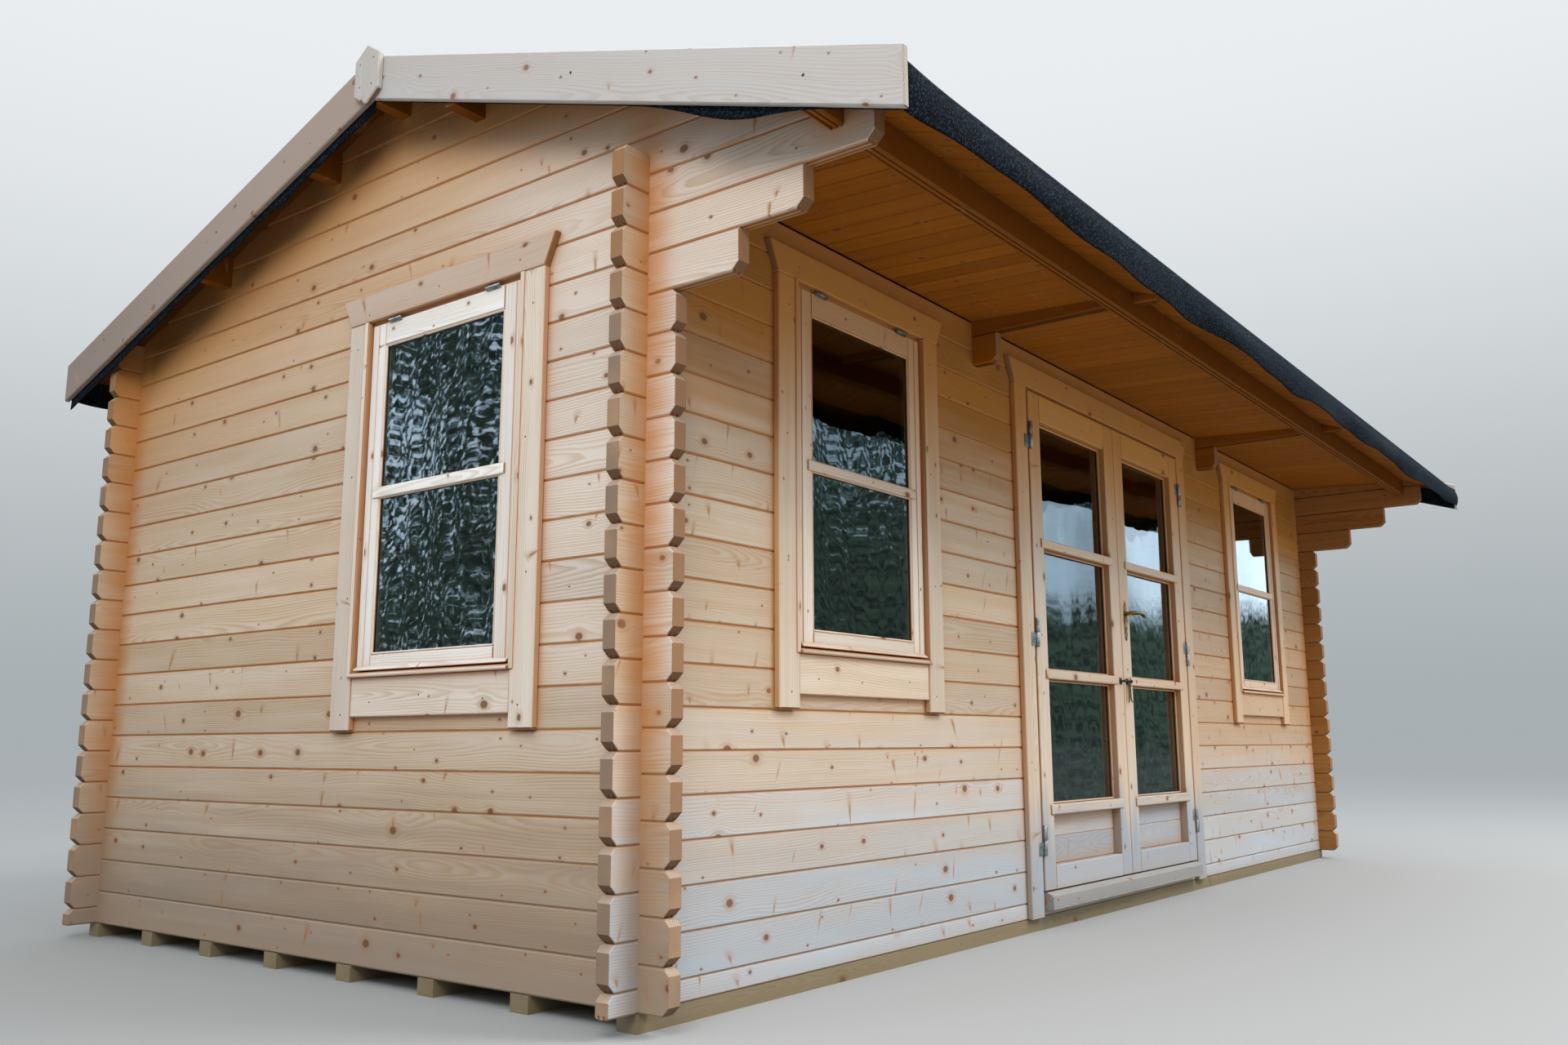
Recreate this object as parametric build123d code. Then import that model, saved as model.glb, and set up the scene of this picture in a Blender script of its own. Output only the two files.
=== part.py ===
"""Garden cabin of interlocking logs, with a porch under the long front slope of its roof.

X runs along the front wall, +Y from the front to the back, +Z up. The origin lies on the ground
under the ridge, half way along it. Lengths are in millimetres.
"""
from build123d import *
import math
import os

# Logs
log_height = 114.0
log_thickness = 44.0
log_end = 101.0            # how far a log runs on past the wall that it crosses
log_groove = 4.0           # chamfer along each log, so that a joint shows as a V
end_chamfer_low = 24.0
end_chamfer_high = 18.0

# Plan
wall_length = 5985.0       # over the outer faces of the two gables
wall_depth = 2804.0        # over the outer faces of front and back wall

# Floor
bearer_count = 8
bearer_width = 70.0
bearer_height = 48.0
deck_thickness = 19.0
deck_clearance = 0.3

# Roof
roof_slope = 0.3346        # rise over run, 18.5 degrees
roof_board = 19.0
felt_thickness = 3.0
felt_hang = 95.0           # below the underside of the boards, at eaves and verges
felt_below_board = 16.0    # how far the felt shows under a bargeboard
porch_reach = 638.0        # from the front wall's outer face to the canopy purlin's outer face
front_overhang = 242.0     # roof boards past the canopy purlin
back_overhang = 276.0      # roof boards past the back wall
verge_overhang = 118.0     # roof boards and purlins past the gables
canopy_purlin_height = 91.0
purlin_height = 105.0
purlin_thickness = 44.0
near_purlin_offset = 378.0     # level distance of the purlin next to the ridge, on both slopes
far_purlin_offset = 1049.0     # the same for the lower purlin of the back slope
ceiling_board = 12.0
ceiling_fall = 28.0        # from the front wall's top out to the canopy purlin
bargeboard_thickness = 20.0
bargeboard_above = 56.0    # above the underside of the roof boards
bargeboard_below = 95.0
bargeboard_past_eave = 12.0
bargeboard_mitre = 0.6
plate_half_width = 64.0    # six-sided plate over the bargeboards' joint
plate_above = 86.0
plate_below = 122.0
plate_thickness = 20.0
tongue_width = 6.0         # the two grooves in the underside of a log
tongue_depth = 5.0
tongue_spacing = 16.0

# Bracket logs at the porch ends, measured from the front wall's outer face, lowest first
bracket_reaches = (311.0, 516.0, 726.0)
stub_past_purlin = 88.0
stub_below_tie = 11.0
stub_chamfer = 10.0

# Roof frame inside
rafter_depth = 95.0
post_width = 95.0
rafter_lap = 6.0           # how deep a purlin is let into the rafter
tie_from_trim = 252.0      # from the door's outer trim to the near face of a tie beam

# Doorway
leaf_height = 1950.0
left_leaf_width = 831.0
right_leaf_width = 780.0
leaf_thickness = 54.0
leaf_bottom = 93.5         # above the foot of the logs
door_gap = 5.0
leaf_bevel = 3.0
stile_width = 96.0
top_rail = 112.0
bar_height = 34.0
panel_rail_height = 38.0
bottom_rail = 89.0
panel_height = 188.0
glass_recess = 36.0
glass_thickness = 4.0
glass_rebate = 8.0
glass_clearance = 0.3
panel_thickness = 12.0
panel_groove = 3.0
jamb_thickness = 38.0
jamb_depth = 62.0
stop_width = 14.0
trim_thickness = 22.0
trim_width = 98.0
trim_setback = 10.0        # of the trim's edge from the edge of its frame
head_height = 95.0
head_overhang = 44.0
head_gap = 14.0            # between the top of a leaf or sash and its head board
threshold_nose = 48.0
threshold_fall = 14.0
nose_height = 48.0

# Windows
sash_width = 707.0
sash_height = 1111.0
sash_thickness = 40.0
sash_out = 12.0            # of the sash's outer face past the wall's
sash_stile = 68.0
sash_top_rail = 74.0
sash_bottom_rail = 48.0
sash_bar = 25.0
sash_bar_centre = 554.0    # above the bottom of the sash
sash_gap = 3.0
sash_seat = 0.3            # between the sash's back and the stop it closes against
sash_glass_recess = 10.0
frame_clearance = 0.3
window_sill = 870.0        # bottom of the gable window's sash above the foot of the logs
window_offset = 1008.0     # from a gable's outer face to the centre of a front window
gable_window_offset = 850.0    # from the front wall's outer face to the centre of the gable window
apron_height = 104.0
apron_drop = 20.0
trim_below_apron = 42.0
sill_lip = 16.0
sill_nose = 34.0

# Ironmongery
rod_sides = 10             # of the barrels and grips
hinge_radius = 7.0
hinge_height = 108.0
hinge_from_end = 186.0
hinge_leaf_width = 30.0
hinge_leaf_thickness = 2.5
hinge_pin_radius = 3.0
hinge_pin_clearance = 0.05
hinge_joint_gap = 0.5
hinge_seat = 0.3           # between the barrel and the leaf's outer face
window_hinge_length = 62.0
window_hinge_radius = 5.0
window_hinge_inset = 118.0
window_hinge_drop = 24.0   # of its flap below the joint over the sash
plate_height = 178.0
plate_width = 38.0
backplate_thickness = 4.0
lever_height = 1117.0      # above the leaf's lower edge
lever_length = 118.0
lever_standoff = 46.0
lever_radius = 8.0
spindle_radius = 9.0
spindle_clearance = 0.08
plate_above_lever = 56.0
staple_height = 815.0
staple_wire = 4.0

# Places that follow from the sizes above
half_length = wall_length / 2
left_face = -half_length
right_face = half_length
eave_run = (porch_reach + front_overhang + wall_depth + back_overhang) / 2
front_face = porch_reach + front_overhang - eave_run
back_face = front_face + wall_depth
base = bearer_height
front_sill = base + window_sill + log_height / 2
gable_sill = base + window_sill
leaf_foot = base + leaf_bottom
leaf_top = leaf_foot + leaf_height
door_head = leaf_top + door_gap + jamb_thickness
sash_head = front_sill + sash_height + sash_gap + jamb_thickness
highest_head = max(door_head, sash_head)
whole_logs = int(-(-(highest_head - base - log_height / 2) // log_height)) + 1
wall_top = base + (whole_logs + 0.5) * log_height
sill_top = base + log_height / 2
split_height = sill_top + log_height * int((door_head - sill_top) // log_height)
purlin_out = front_face - porch_reach
purlin_in = purlin_out + log_thickness
purlin_foot = wall_top - log_height
ridge_height = purlin_foot + canopy_purlin_height + roof_slope * abs(purlin_out)
roof_half_length = half_length + verge_overhang
tie_foot = wall_top - log_height / 2
tie_top = tie_foot + log_height
door_clear = left_leaf_width + right_leaf_width + 3 * door_gap
door_left = -door_clear / 2
door_right = door_clear / 2
frame_left = door_left - jamb_thickness
frame_right = door_right + jamb_thickness
window_centres = (left_face + window_offset, right_face - window_offset)
door_trim_edge = door_left - trim_setback - trim_width
tie_centre = door_trim_edge - tie_from_trim - log_thickness / 2
tie_centres = (tie_centre, -tie_centre)
back_purlins = (near_purlin_offset, far_purlin_offset)
leaf_face = front_face - trim_thickness
hinge_out = hinge_radius + hinge_seat
gable_window_centre = front_face + gable_window_offset


def underside(y):
    """Height of the roof boards' underside over the line y."""
    return ridge_height - roof_slope * abs(y)


def block(x0, x1, y0, y1, z0, z1):
    """Box between two corners."""
    centre = Pos((x0 + x1) / 2, (y0 + y1) / 2, (z0 + z1) / 2)
    return centre * Box(x1 - x0, y1 - y0, z1 - z0)


def distinct(points):
    """The same outline with repeated neighbours dropped."""
    kept = []
    for point in points:
        if not kept or max(abs(point[0] - kept[-1][0]), abs(point[1] - kept[-1][1])) > 1e-6:
            kept.append(point)
    return kept


def prism_x(outline, x0, x1):
    """Outline of (y, z) points drawn out from x0 to x1."""
    face = Plane.YZ.offset(x0) * make_face(Polyline(*distinct(outline), close=True))
    return extrude(face, amount=x1 - x0, dir=(1, 0, 0))


def rod(radius, z0, z1):
    """Many-sided rod along Z."""
    return extrude(Plane.XY.offset(z0) * RegularPolygon(radius, rod_sides), amount=z1 - z0, dir=(0, 0, 1))


def prism_y(outline, y0, y1):
    """Outline of (x, z) points drawn out from y0 to y1."""
    face = Plane.XZ.offset(-y0) * make_face(Polyline(*distinct(outline), close=True))
    return extrude(face, amount=y1 - y0, dir=(0, 1, 0))


def under_roof(x0, x1, reach=eave_run, foot=0.0):
    """The space below the roof boards."""
    outline = [
        (-reach, foot),
        (-reach, underside(reach)),
        (0, ridge_height),
        (reach, underside(reach)),
        (reach, foot),
    ]
    return prism_x(outline, x0, x1)


def joints(first, top):
    """Heights of the joints between courses, from the first one up to the wall's top."""
    heights = []
    height = first
    while height < top - 3 * log_groove:
        heights.append(height)
        height += log_height
    return heights


def grooved_section(outer, inner, foot, top, joint_heights):
    """Section through a wall whose outer face has a V at each joint; its inner face is closed up flush."""
    root = outer + log_groove * (1 if inner > outer else -1)
    outline = [(outer, foot)]
    for height in joint_heights:
        outline += [(outer, height - log_groove), (root, height), (outer, height + log_groove)]
    return outline + [(outer, top), (inner, top), (inner, foot)]


def stack_outline(courses):
    """Side view of a stack of logs.

    Each course is (foot, top, start, end, low chamfer, high chamfer at the start, the same at the end).
    """
    start_side = []
    end_side = []
    for foot, top, start, end, low, high_start, high_end in courses:
        start_side += [(start + low, foot), (start, foot + low), (start, top - high_start)]
        start_side.append((start + high_start, top))
        end_side += [(end - low, foot), (end, foot + low), (end, top - high_end), (end - high_end, top)]
    return start_side + end_side[::-1]


def long_wall_courses(top):
    """Courses of the front or back wall: a half log at the foot, then whole logs."""
    end = half_length + log_end
    courses = [(base, sill_top, -end, end, 0, end_chamfer_high, end_chamfer_high)]
    foot = sill_top
    while foot < top - 1e-6:
        courses.append((foot, foot + log_height, -end, end, end_chamfer_low, end_chamfer_high, end_chamfer_high))
        foot += log_height
    return courses


def gable_courses(top):
    """Courses of a gable: whole logs, the upper ones reaching out under the porch roof."""
    first_bracket = round((tie_foot - base) / log_height) - len(bracket_reaches)
    back_end = back_face + log_end
    courses = []
    number = 0
    foot = base
    while foot < top - 1e-6:
        low = end_chamfer_low
        if number < first_bracket:
            front_end = front_face - log_end
            high_front = end_chamfer_high
        else:
            step = min(number - first_bracket, len(bracket_reaches) - 1)
            front_end = front_face - bracket_reaches[step]
            high_front = 0
        if number > first_bracket + len(bracket_reaches) - 1:
            low = 0
        courses.append((foot, foot + log_height, front_end, back_end, low, high_front, end_chamfer_high))
        foot += log_height
        number += 1
    return courses


def teeth(x0, x1, y0, y1, first, top):
    """Half-height blocks at each course, which one wall keeps and the other gives up where they cross."""
    blocks = []
    centre = first
    while centre - log_height / 4 < top:
        low = max(centre - log_height / 4, base)
        blocks.append(block(x0, x1, y0, y1, low, centre + log_height / 4))
        centre += log_height
    return blocks


def corner_bands(kind, x0, x1, y0, y1, top):
    """Where a wall is cut at a corner: by the long wall's logs or by the gable's."""
    first = base if kind == "long" else base + log_height / 2
    return teeth(x0, x1, y0, y1, first, top)


def gable_ranges():
    """Thickness of the two gables along X."""
    return ((left_face, left_face + log_thickness), (right_face - log_thickness, right_face))


def tie_ranges():
    """Thickness of the two tie beams along X."""
    return tuple((x - log_thickness / 2, x + log_thickness / 2) for x in tie_centres)


def crossing_cuts(y0, y1):
    """What a long wall gives up to the stubs and tie beams that pass through it."""
    cuts = []
    stub_centre = tie_foot - log_height / 2
    for x0, x1 in tie_ranges():
        cuts.append(block(x0, x1, y0, y1, stub_centre - log_height / 4, stub_centre + log_height / 4))
        cuts.append(block(x0, x1, y0, y1, wall_top - log_height / 4, wall_top + log_height))
    return cuts


def long_wall(outer, inner, top):
    """Front or back wall before its openings are cut, from its outer to its inner face."""
    y0, y1 = sorted((outer, inner))
    section = grooved_section(outer, inner, base, top, joints(sill_top, top))
    wall = prism_x(section, -half_length - log_end, half_length + log_end)
    outline = stack_outline(long_wall_courses(top))
    wall = wall & prism_y(outline, y0, y1)
    cuts = crossing_cuts(y0, y1)
    for x0, x1 in gable_ranges():
        cuts += corner_bands("gable", x0, x1, y0, y1, top)
    return wall - cuts


def window_cut(y0, y1, centre, sill):
    """Opening for a window's frame in a wall that faces -Y."""
    half = sash_width / 2 + sash_gap + jamb_thickness + frame_clearance
    low = sill - sash_gap - jamb_thickness
    high = sill + sash_height + sash_gap + jamb_thickness + frame_clearance
    return block(centre - half, centre + half, y0, y1, low, high)


def front_wall_whole():
    """Front wall with its doorway and two windows."""
    y0 = front_face
    y1 = front_face + log_thickness
    cuts = [window_cut(y0, y1, centre, front_sill) for centre in window_centres]
    left = frame_left - frame_clearance
    right = frame_right + frame_clearance
    cuts.append(block(left, right, y0, y1, sill_top, door_head + frame_clearance))
    return long_wall(y0, y1, wall_top) - cuts


def front_pieces():
    """Front wall cut into its foot log, the panels beside the door and the logs over it."""
    wall = front_wall_whole()
    far = half_length + 2 * log_end
    y0 = front_face - 1
    y1 = front_face + log_thickness + 1
    return {
        "front_sill_log": wall & block(-far, far, y0, y1, base, sill_top),
        "front_wall_left": wall & block(-far, 0, y0, y1, sill_top, split_height),
        "front_wall_right": wall & block(0, far, y0, y1, sill_top, split_height),
        "front_top_logs": wall & block(-far, far, y0, y1, split_height, wall_top),
    }


def back_wall():
    """Plain log wall up to the underside of the roof."""
    inner = back_face - log_thickness
    wall = long_wall(back_face, inner, underside(inner))
    return wall & under_roof(-half_length - log_end, half_length + log_end)


def purlin_sections():
    """Name of each purlin with its (y0, y1, foot)."""
    half = purlin_thickness / 2
    sections = {"canopy": (purlin_out, purlin_in, purlin_foot)}
    sections["ridge"] = (-half, half, ridge_height - purlin_height)
    for name, y in (
        ("front", -near_purlin_offset),
        ("back_near", near_purlin_offset),
        ("back_far", far_purlin_offset),
    ):
        sections[name] = (y - half, y + half, underside(y) - purlin_height)
    return sections


def purlin_space(name, x0, x1):
    """The block that a purlin takes, up to above the roof."""
    y0, y1, foot = purlin_sections()[name]
    return block(x0, x1, y0, y1, foot, ridge_height + log_height)


def gable_wall(x0, x1, window=False):
    """Gable up to the roof, with its bracket logs and its notches for walls and purlins."""
    outer, inner = (x0, x1) if x0 < 0 else (x1, x0)
    section = grooved_section(outer, inner, base, ridge_height, joints(base + log_height, ridge_height))
    far = eave_run
    wall = prism_y(section, -far, far)
    wall = wall & prism_x(stack_outline(gable_courses(ridge_height)), x0, x1)
    wall = wall & under_roof(x0, x1)
    cuts = corner_bands("long", x0, x1, front_face, front_face + log_thickness, wall_top - log_height / 2)
    back_top = underside(back_face - log_thickness)
    cuts += corner_bands("long", x0, x1, back_face - log_thickness, back_face, back_top - log_height / 4)
    cuts += [purlin_space(name, x0, x1) for name in purlin_sections()]
    if window:
        opening = window_cut(0, x1 - x0, 0, gable_sill)
        cuts.append(Pos(x0, gable_window_centre, 0) * Rot(0, 0, -90) * opening)
    return wall - cuts


def tongue_grooves(x0, x1, centre, foot):
    """The two grooves along the underside of a log that runs along X."""
    cuts = []
    for side in (-0.5, 0.5):
        y = centre + side * tongue_spacing
        cuts.append(block(x0, x1, y - tongue_width / 2, y + tongue_width / 2, foot, foot + tongue_depth))
    return cuts


def purlin(name):
    """One purlin, its top planed to the roof."""
    solid = purlin_space(name, -roof_half_length, roof_half_length)
    return solid & under_roof(-roof_half_length, roof_half_length)


def canopy_purlin():
    """Purlin at the front of the porch, grooved below and notched for the tie beams."""
    y0, y1, foot = purlin_sections()["canopy"]
    cuts = tongue_grooves(-roof_half_length, roof_half_length, (y0 + y1) / 2, foot)
    cuts += [block(x0, x1, y0, y1, tie_foot, wall_top + log_height) for x0, x1 in tie_ranges()]
    return purlin("canopy") - cuts


def tie_beam(x0, x1):
    """Beam from the porch purlin to the back wall, with its stub logs at both walls."""
    start = purlin_out - stub_past_purlin
    low = end_chamfer_low
    nose_foot = tie_foot - stub_below_tie
    beam = prism_x(
        [
            (start + stub_chamfer, nose_foot),
            (purlin_out, nose_foot),
            (purlin_out, tie_foot),
            (back_face, tie_foot),
            (back_face, tie_top),
            (start, tie_top),
            (start, nose_foot + stub_chamfer),
        ],
        x0,
        x1,
    )
    beam = beam & under_roof(x0, x1)
    stub_foot = tie_foot - log_height
    stub_centre = stub_foot + log_height / 2
    for y in (front_face, back_face - log_thickness):
        y0 = y - log_end
        y1 = y + log_thickness + log_end
        outline = [
            (y0 + low, stub_foot),
            (y1 - low, stub_foot),
            (y1, stub_foot + low),
            (y1, tie_foot),
            (y0, tie_foot),
            (y0, stub_foot + low),
        ]
        beam += prism_x(outline, x0, x1)
    for y in (front_face, back_face - log_thickness):
        y1 = y + log_thickness
        beam -= block(x0, x1, y, y1, stub_foot, stub_centre - log_height / 4)
        beam -= block(x0, x1, y, y1, stub_centre + log_height / 4, wall_top - log_height / 4)
    return beam


def rafter(x0, x1, side):
    """Rafter between post and tie beam, on one side of the ridge."""
    lift = rafter_lap - purlin_height
    start = post_width / 2
    foot = (ridge_height + lift - tie_top) / roof_slope
    inner = foot - rafter_depth / roof_slope
    outline = [
        (side * start, underside(start) + lift),
        (side * foot, tie_top),
        (side * inner, tie_top),
        (side * start, underside(start) + lift - rafter_depth),
    ]
    solid = prism_x(outline, x0, x1)
    return solid - [purlin_space(name, x0, x1) for name in ("front", "back_near", "back_far")]


def king_post(x0, x1):
    """Post from the tie beam up to the ridge purlin."""
    half = post_width / 2
    return block(x0, x1, -half, half, tie_top, ridge_height - purlin_height)


def roof_boards(side):
    """Roof boarding of one slope."""
    outline = [
        (0, ridge_height),
        (side * eave_run, underside(eave_run)),
        (side * eave_run, underside(eave_run) + roof_board),
        (0, ridge_height + roof_board),
    ]
    return prism_x(outline, -roof_half_length, roof_half_length)


def roof_felt(side):
    """Felt over one slope, turned down at its eave and at both verges."""
    edge = eave_run + felt_thickness
    low = roof_board
    high = roof_board + felt_thickness
    sheet = [
        (0, ridge_height + low),
        (side * eave_run, underside(eave_run) + low),
        (side * eave_run, underside(eave_run) - felt_hang),
        (side * edge, underside(eave_run) - felt_hang),
        (side * edge, underside(edge) + high),
        (0, ridge_height + high),
    ]
    span = roof_half_length + felt_thickness
    felt = prism_x(sheet, -span, span)
    hang = bargeboard_below + felt_below_board
    flap = [
        (0, ridge_height + low),
        (side * edge, underside(edge) + low),
        (side * edge, underside(edge) - hang),
        (0, ridge_height - hang),
    ]
    felt += prism_x(flap, -span, -roof_half_length)
    felt += prism_x(flap, roof_half_length, span)
    return felt


def bargeboard(side, x0, x1):
    """Board along one verge, cut plumb at the eave and at the ridge."""
    near = bargeboard_mitre / 2
    far = eave_run + felt_thickness + bargeboard_past_eave
    outline = [
        (side * near, underside(near) - bargeboard_below),
        (side * far, underside(far) - bargeboard_below),
        (side * far, underside(far) + bargeboard_above),
        (side * near, underside(near) + bargeboard_above),
    ]
    return prism_x(outline, x0, x1)


def ridge_plate(x0, x1):
    """Six-sided plate that covers the joint of two bargeboards."""
    w = plate_half_width
    fall = plate_half_width * roof_slope * 2
    top = ridge_height + plate_above
    low = ridge_height - plate_below
    outline = [(0, low), (w, low + fall), (w, top - fall), (0, top), (-w, top - fall), (-w, low + fall)]
    return prism_x(outline, x0, x1)


def porch_ceiling():
    """Boarding between the front wall's top and the canopy purlin, in three bays."""
    outer = wall_top - ceiling_fall
    inner_edge = front_face + log_thickness
    outline = [
        (purlin_in, outer),
        (front_face, wall_top),
        (inner_edge, wall_top),
        (inner_edge, wall_top + ceiling_board),
        (front_face, wall_top + ceiling_board),
        (purlin_in, outer + ceiling_board),
    ]
    first, second = tie_ranges()
    bays = (
        (left_face + log_thickness, first[0]),
        (first[1], second[0]),
        (second[1], right_face - log_thickness),
    )
    return [prism_x(outline, x0, x1) for x0, x1 in bays]


def bearers():
    """Bearers along the building, the outer two under the long walls."""
    step = (wall_depth - bearer_width) / (bearer_count - 1)
    solids = []
    for number in range(bearer_count):
        y = front_face + number * step
        solids.append(block(left_face, right_face, y, y + bearer_width, 0, bearer_height))
    return solids


def floor_deck():
    """Floor boards inside the walls."""
    edge = log_thickness + deck_clearance
    deck_y0 = front_face + edge
    deck_y1 = back_face - edge
    return block(left_face + edge, right_face - edge, deck_y0, deck_y1, base, base + deck_thickness)


def head_board(half_width, foot):
    """Board over an opening, wider at its top, outer face of the wall at y = 0."""
    top = foot + head_height
    outline = [
        (-half_width, foot),
        (half_width, foot),
        (half_width + head_overhang, top),
        (-half_width - head_overhang, top),
    ]
    return prism_y(outline, -trim_thickness, 0)


def window_surround():
    """Frame of a window with its outer trims, bottom of the sash at z = 0."""
    half = sash_width / 2 + sash_gap
    out = half + jamb_thickness
    head = sash_height + sash_gap
    solid = block(-out, out, 0, log_thickness, -sash_gap - jamb_thickness, head + jamb_thickness)
    solid -= block(-half, half, 0, log_thickness, -sash_gap, head)
    stop_y = sash_thickness - sash_out + sash_seat
    stop = block(-half, half, stop_y, log_thickness, -sash_gap, head)
    solid += stop - block(-half + stop_width, half - stop_width, stop_y, log_thickness, stop_width, head - stop_width)
    inner = half + trim_setback
    outer = inner + trim_width
    foot = -sill_lip - apron_drop - apron_height
    trim_top = sash_height + head_gap
    for side in (-1, 1):
        x0, x1 = sorted((side * inner, side * outer))
        solid += block(x0, x1, -trim_thickness, 0, foot - trim_below_apron, trim_top)
    solid += block(-inner, inner, -trim_thickness + 4, 0, foot, -apron_drop)
    solid += block(-inner, inner, -sill_nose, 0, -apron_drop, -apron_drop + sill_lip)
    solid += head_board(outer, trim_top)
    return solid


def pane_heights():
    """Foot and top of the two panes of a window sash."""
    return (
        (sash_bottom_rail, sash_bar_centre - sash_bar / 2),
        (sash_bar_centre + sash_bar / 2, sash_height - sash_top_rail),
    )


def glazing(half_width, heights, y0, grow):
    """Panes let into their rebates, each a plate between two heights."""
    y1 = y0 + glass_thickness
    play = grow / 2
    return [
        block(
            -half_width - glass_rebate - play,
            half_width + glass_rebate + play,
            y0 - play,
            y1 + play,
            foot - glass_rebate - play,
            top + glass_rebate + play,
        )
        for foot, top in heights
    ]


def window_sash():
    """Sash with one glazing bar."""
    y0 = -sash_out
    y1 = sash_thickness - sash_out
    half = sash_width / 2
    open_half = half - sash_stile
    solid = block(-half, half, y0, y1, 0, sash_height)
    solid -= [block(-open_half, open_half, y0, y1, foot, top) for foot, top in pane_heights()]
    return solid - glazing(open_half, pane_heights(), y0 + sash_glass_recess, 2 * glass_clearance)


def window_panes():
    """The two panes of a window."""
    return glazing(sash_width / 2 - sash_stile, pane_heights(), -sash_out + sash_glass_recess, 0)


def window_hinge(x):
    """Butt hinge over the sash's top edge, its knuckle in front of the joint."""
    y = -sash_out - window_hinge_radius
    z = sash_height + sash_gap / 2
    half = window_hinge_length / 2
    barrel = Pos(x, y, z) * Rot(0, 90, 0) * rod(window_hinge_radius, -half, half)
    flap = block(x - half, x + half, -sash_out - hinge_leaf_thickness, -sash_out, z - window_hinge_drop, z)
    return barrel + flap


def window_places():
    """Where each window stands: left front, right front, left gable."""
    places = {
        "left_window": Pos(window_centres[0], front_face, front_sill),
        "right_window": Pos(window_centres[1], front_face, front_sill),
        "gable_window": Pos(left_face, gable_window_centre, gable_sill) * Rot(0, 0, -90),
    }
    return places


def door_frame():
    """Jambs and head, with the stop that the leaves close against."""
    y0 = front_face
    y1 = front_face + jamb_depth
    stop_y = leaf_face + leaf_thickness + door_gap
    head = leaf_top + door_gap
    foot = sill_top
    solid = block(frame_left, frame_right, y0, y1, foot, door_head)
    solid -= block(door_left, door_right, y0, stop_y, foot, head)
    inner_left = door_left + stop_width
    inner_right = door_right - stop_width
    return solid - block(inner_left, inner_right, y0, y1, foot, head - stop_width)


def door_trim():
    """Boards beside the doorway and the head board over it."""
    inner = door_clear / 2 + trim_setback
    outer = inner + trim_width
    head_foot = leaf_top + head_gap
    solids = []
    for side in (-1, 1):
        x0, x1 = sorted((side * inner, side * outer))
        solids.append(block(x0, x1, leaf_face, front_face, base, head_foot))
    board = Pos(0, front_face, 0) * head_board(outer, head_foot)
    return solids[0] + solids[1] + board


def threshold():
    """Sloping threshold with a nose in front of the foot log."""
    top = leaf_foot - door_gap
    nose_y = leaf_face - threshold_nose + trim_thickness
    outline = [
        (front_face + jamb_depth, sill_top),
        (front_face + jamb_depth, top),
        (leaf_face, top),
        (nose_y, top - threshold_fall),
        (nose_y, top - threshold_fall - nose_height),
        (front_face, top - threshold_fall - nose_height),
        (front_face, sill_top),
    ]
    play = frame_clearance
    inside = prism_x(outline, door_left + stop_width + play, door_right - stop_width - play)
    return inside


def leaf_pane_heights():
    """Foot and top of a leaf's three panes, measured from the leaf's lower edge."""
    foot = bottom_rail + panel_height + panel_rail_height
    top = leaf_height - top_rail
    pane = (top - foot - 2 * bar_height) / 3
    return tuple((foot + n * (pane + bar_height), foot + n * (pane + bar_height) + pane) for n in range(3))


def leaf_blank(width):
    """Door leaf with its hinge edge at x = 0, its outer face at y = 0 and its foot at z = 0."""
    outline = [(0, 0), (width, 0), (width - leaf_bevel, leaf_thickness), (0, leaf_thickness)]
    solid = extrude(make_face(Polyline(*outline, close=True)), amount=leaf_height, dir=(0, 0, 1))
    x0 = stile_width
    x1 = width - stile_width
    for foot, top in leaf_pane_heights():
        solid -= block(x0, x1, 0, leaf_thickness, foot, top)
    panel_foot = bottom_rail
    panel_top = bottom_rail + panel_height
    solid -= block(x0, x1, 0, glass_recess, panel_foot, panel_top)
    back = glass_recess + panel_thickness
    solid -= block(x0, x1, back, leaf_thickness, panel_foot, panel_top)
    middle = (panel_foot + panel_top) / 2
    groove = [(glass_recess, middle - panel_groove), (glass_recess + panel_groove, middle)]
    groove.append((glass_recess, middle + panel_groove))
    solid -= prism_x(groove, x0, x1)
    centre = Pos(width / 2, 0, 0)
    half = width / 2 - stile_width
    rebates = glazing(half, leaf_pane_heights(), glass_recess, 2 * glass_clearance)
    solid -= [centre * rebate for rebate in rebates]
    return solid


def leaf_panes(width):
    """The three panes of a leaf."""
    centre = Pos(width / 2, 0, 0)
    half = width / 2 - stile_width
    return [centre * pane for pane in glazing(half, leaf_pane_heights(), glass_recess, 0)]


def hinge_heights():
    """Centres of a leaf's three hinges above its lower edge."""
    return (hinge_from_end, leaf_height / 2, leaf_height - hinge_from_end)


def knuckle(z0, z1):
    """Stretch of a hinge's barrel."""
    return rod(hinge_radius, z0, z1)


def leaf_hinge(z):
    """Upper half of a hinge: barrel and the flap on the leaf's face, pin's axis on x = y = 0."""
    top = z + hinge_height / 2
    edge = door_gap / 2
    flap = block(0, edge + hinge_leaf_width, hinge_out - hinge_leaf_thickness, hinge_out, z + hinge_joint_gap, top)
    solid = knuckle(z + hinge_joint_gap, top) + flap
    return solid - Pos(0, 0, z) * Cylinder(hinge_pin_radius + hinge_pin_clearance, 3 * hinge_height)


def frame_hinge(z):
    """Lower half of a hinge with the pin, the flap on the trim's side."""
    foot = z - hinge_height / 2
    edge = door_gap / 2 + trim_setback
    flap = block(-edge - hinge_leaf_width, 0, hinge_out - hinge_leaf_thickness, hinge_out, foot, z)
    pin = Pos(0, 0, z) * Cylinder(hinge_pin_radius, hinge_height)
    return knuckle(foot, z) + flap + pin


def leaf_places():
    """Where each leaf's blank stands."""
    left = Pos(door_left + door_gap, leaf_face, leaf_foot)
    right = Pos(door_right - door_gap, leaf_face, leaf_foot)
    return left, right


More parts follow.
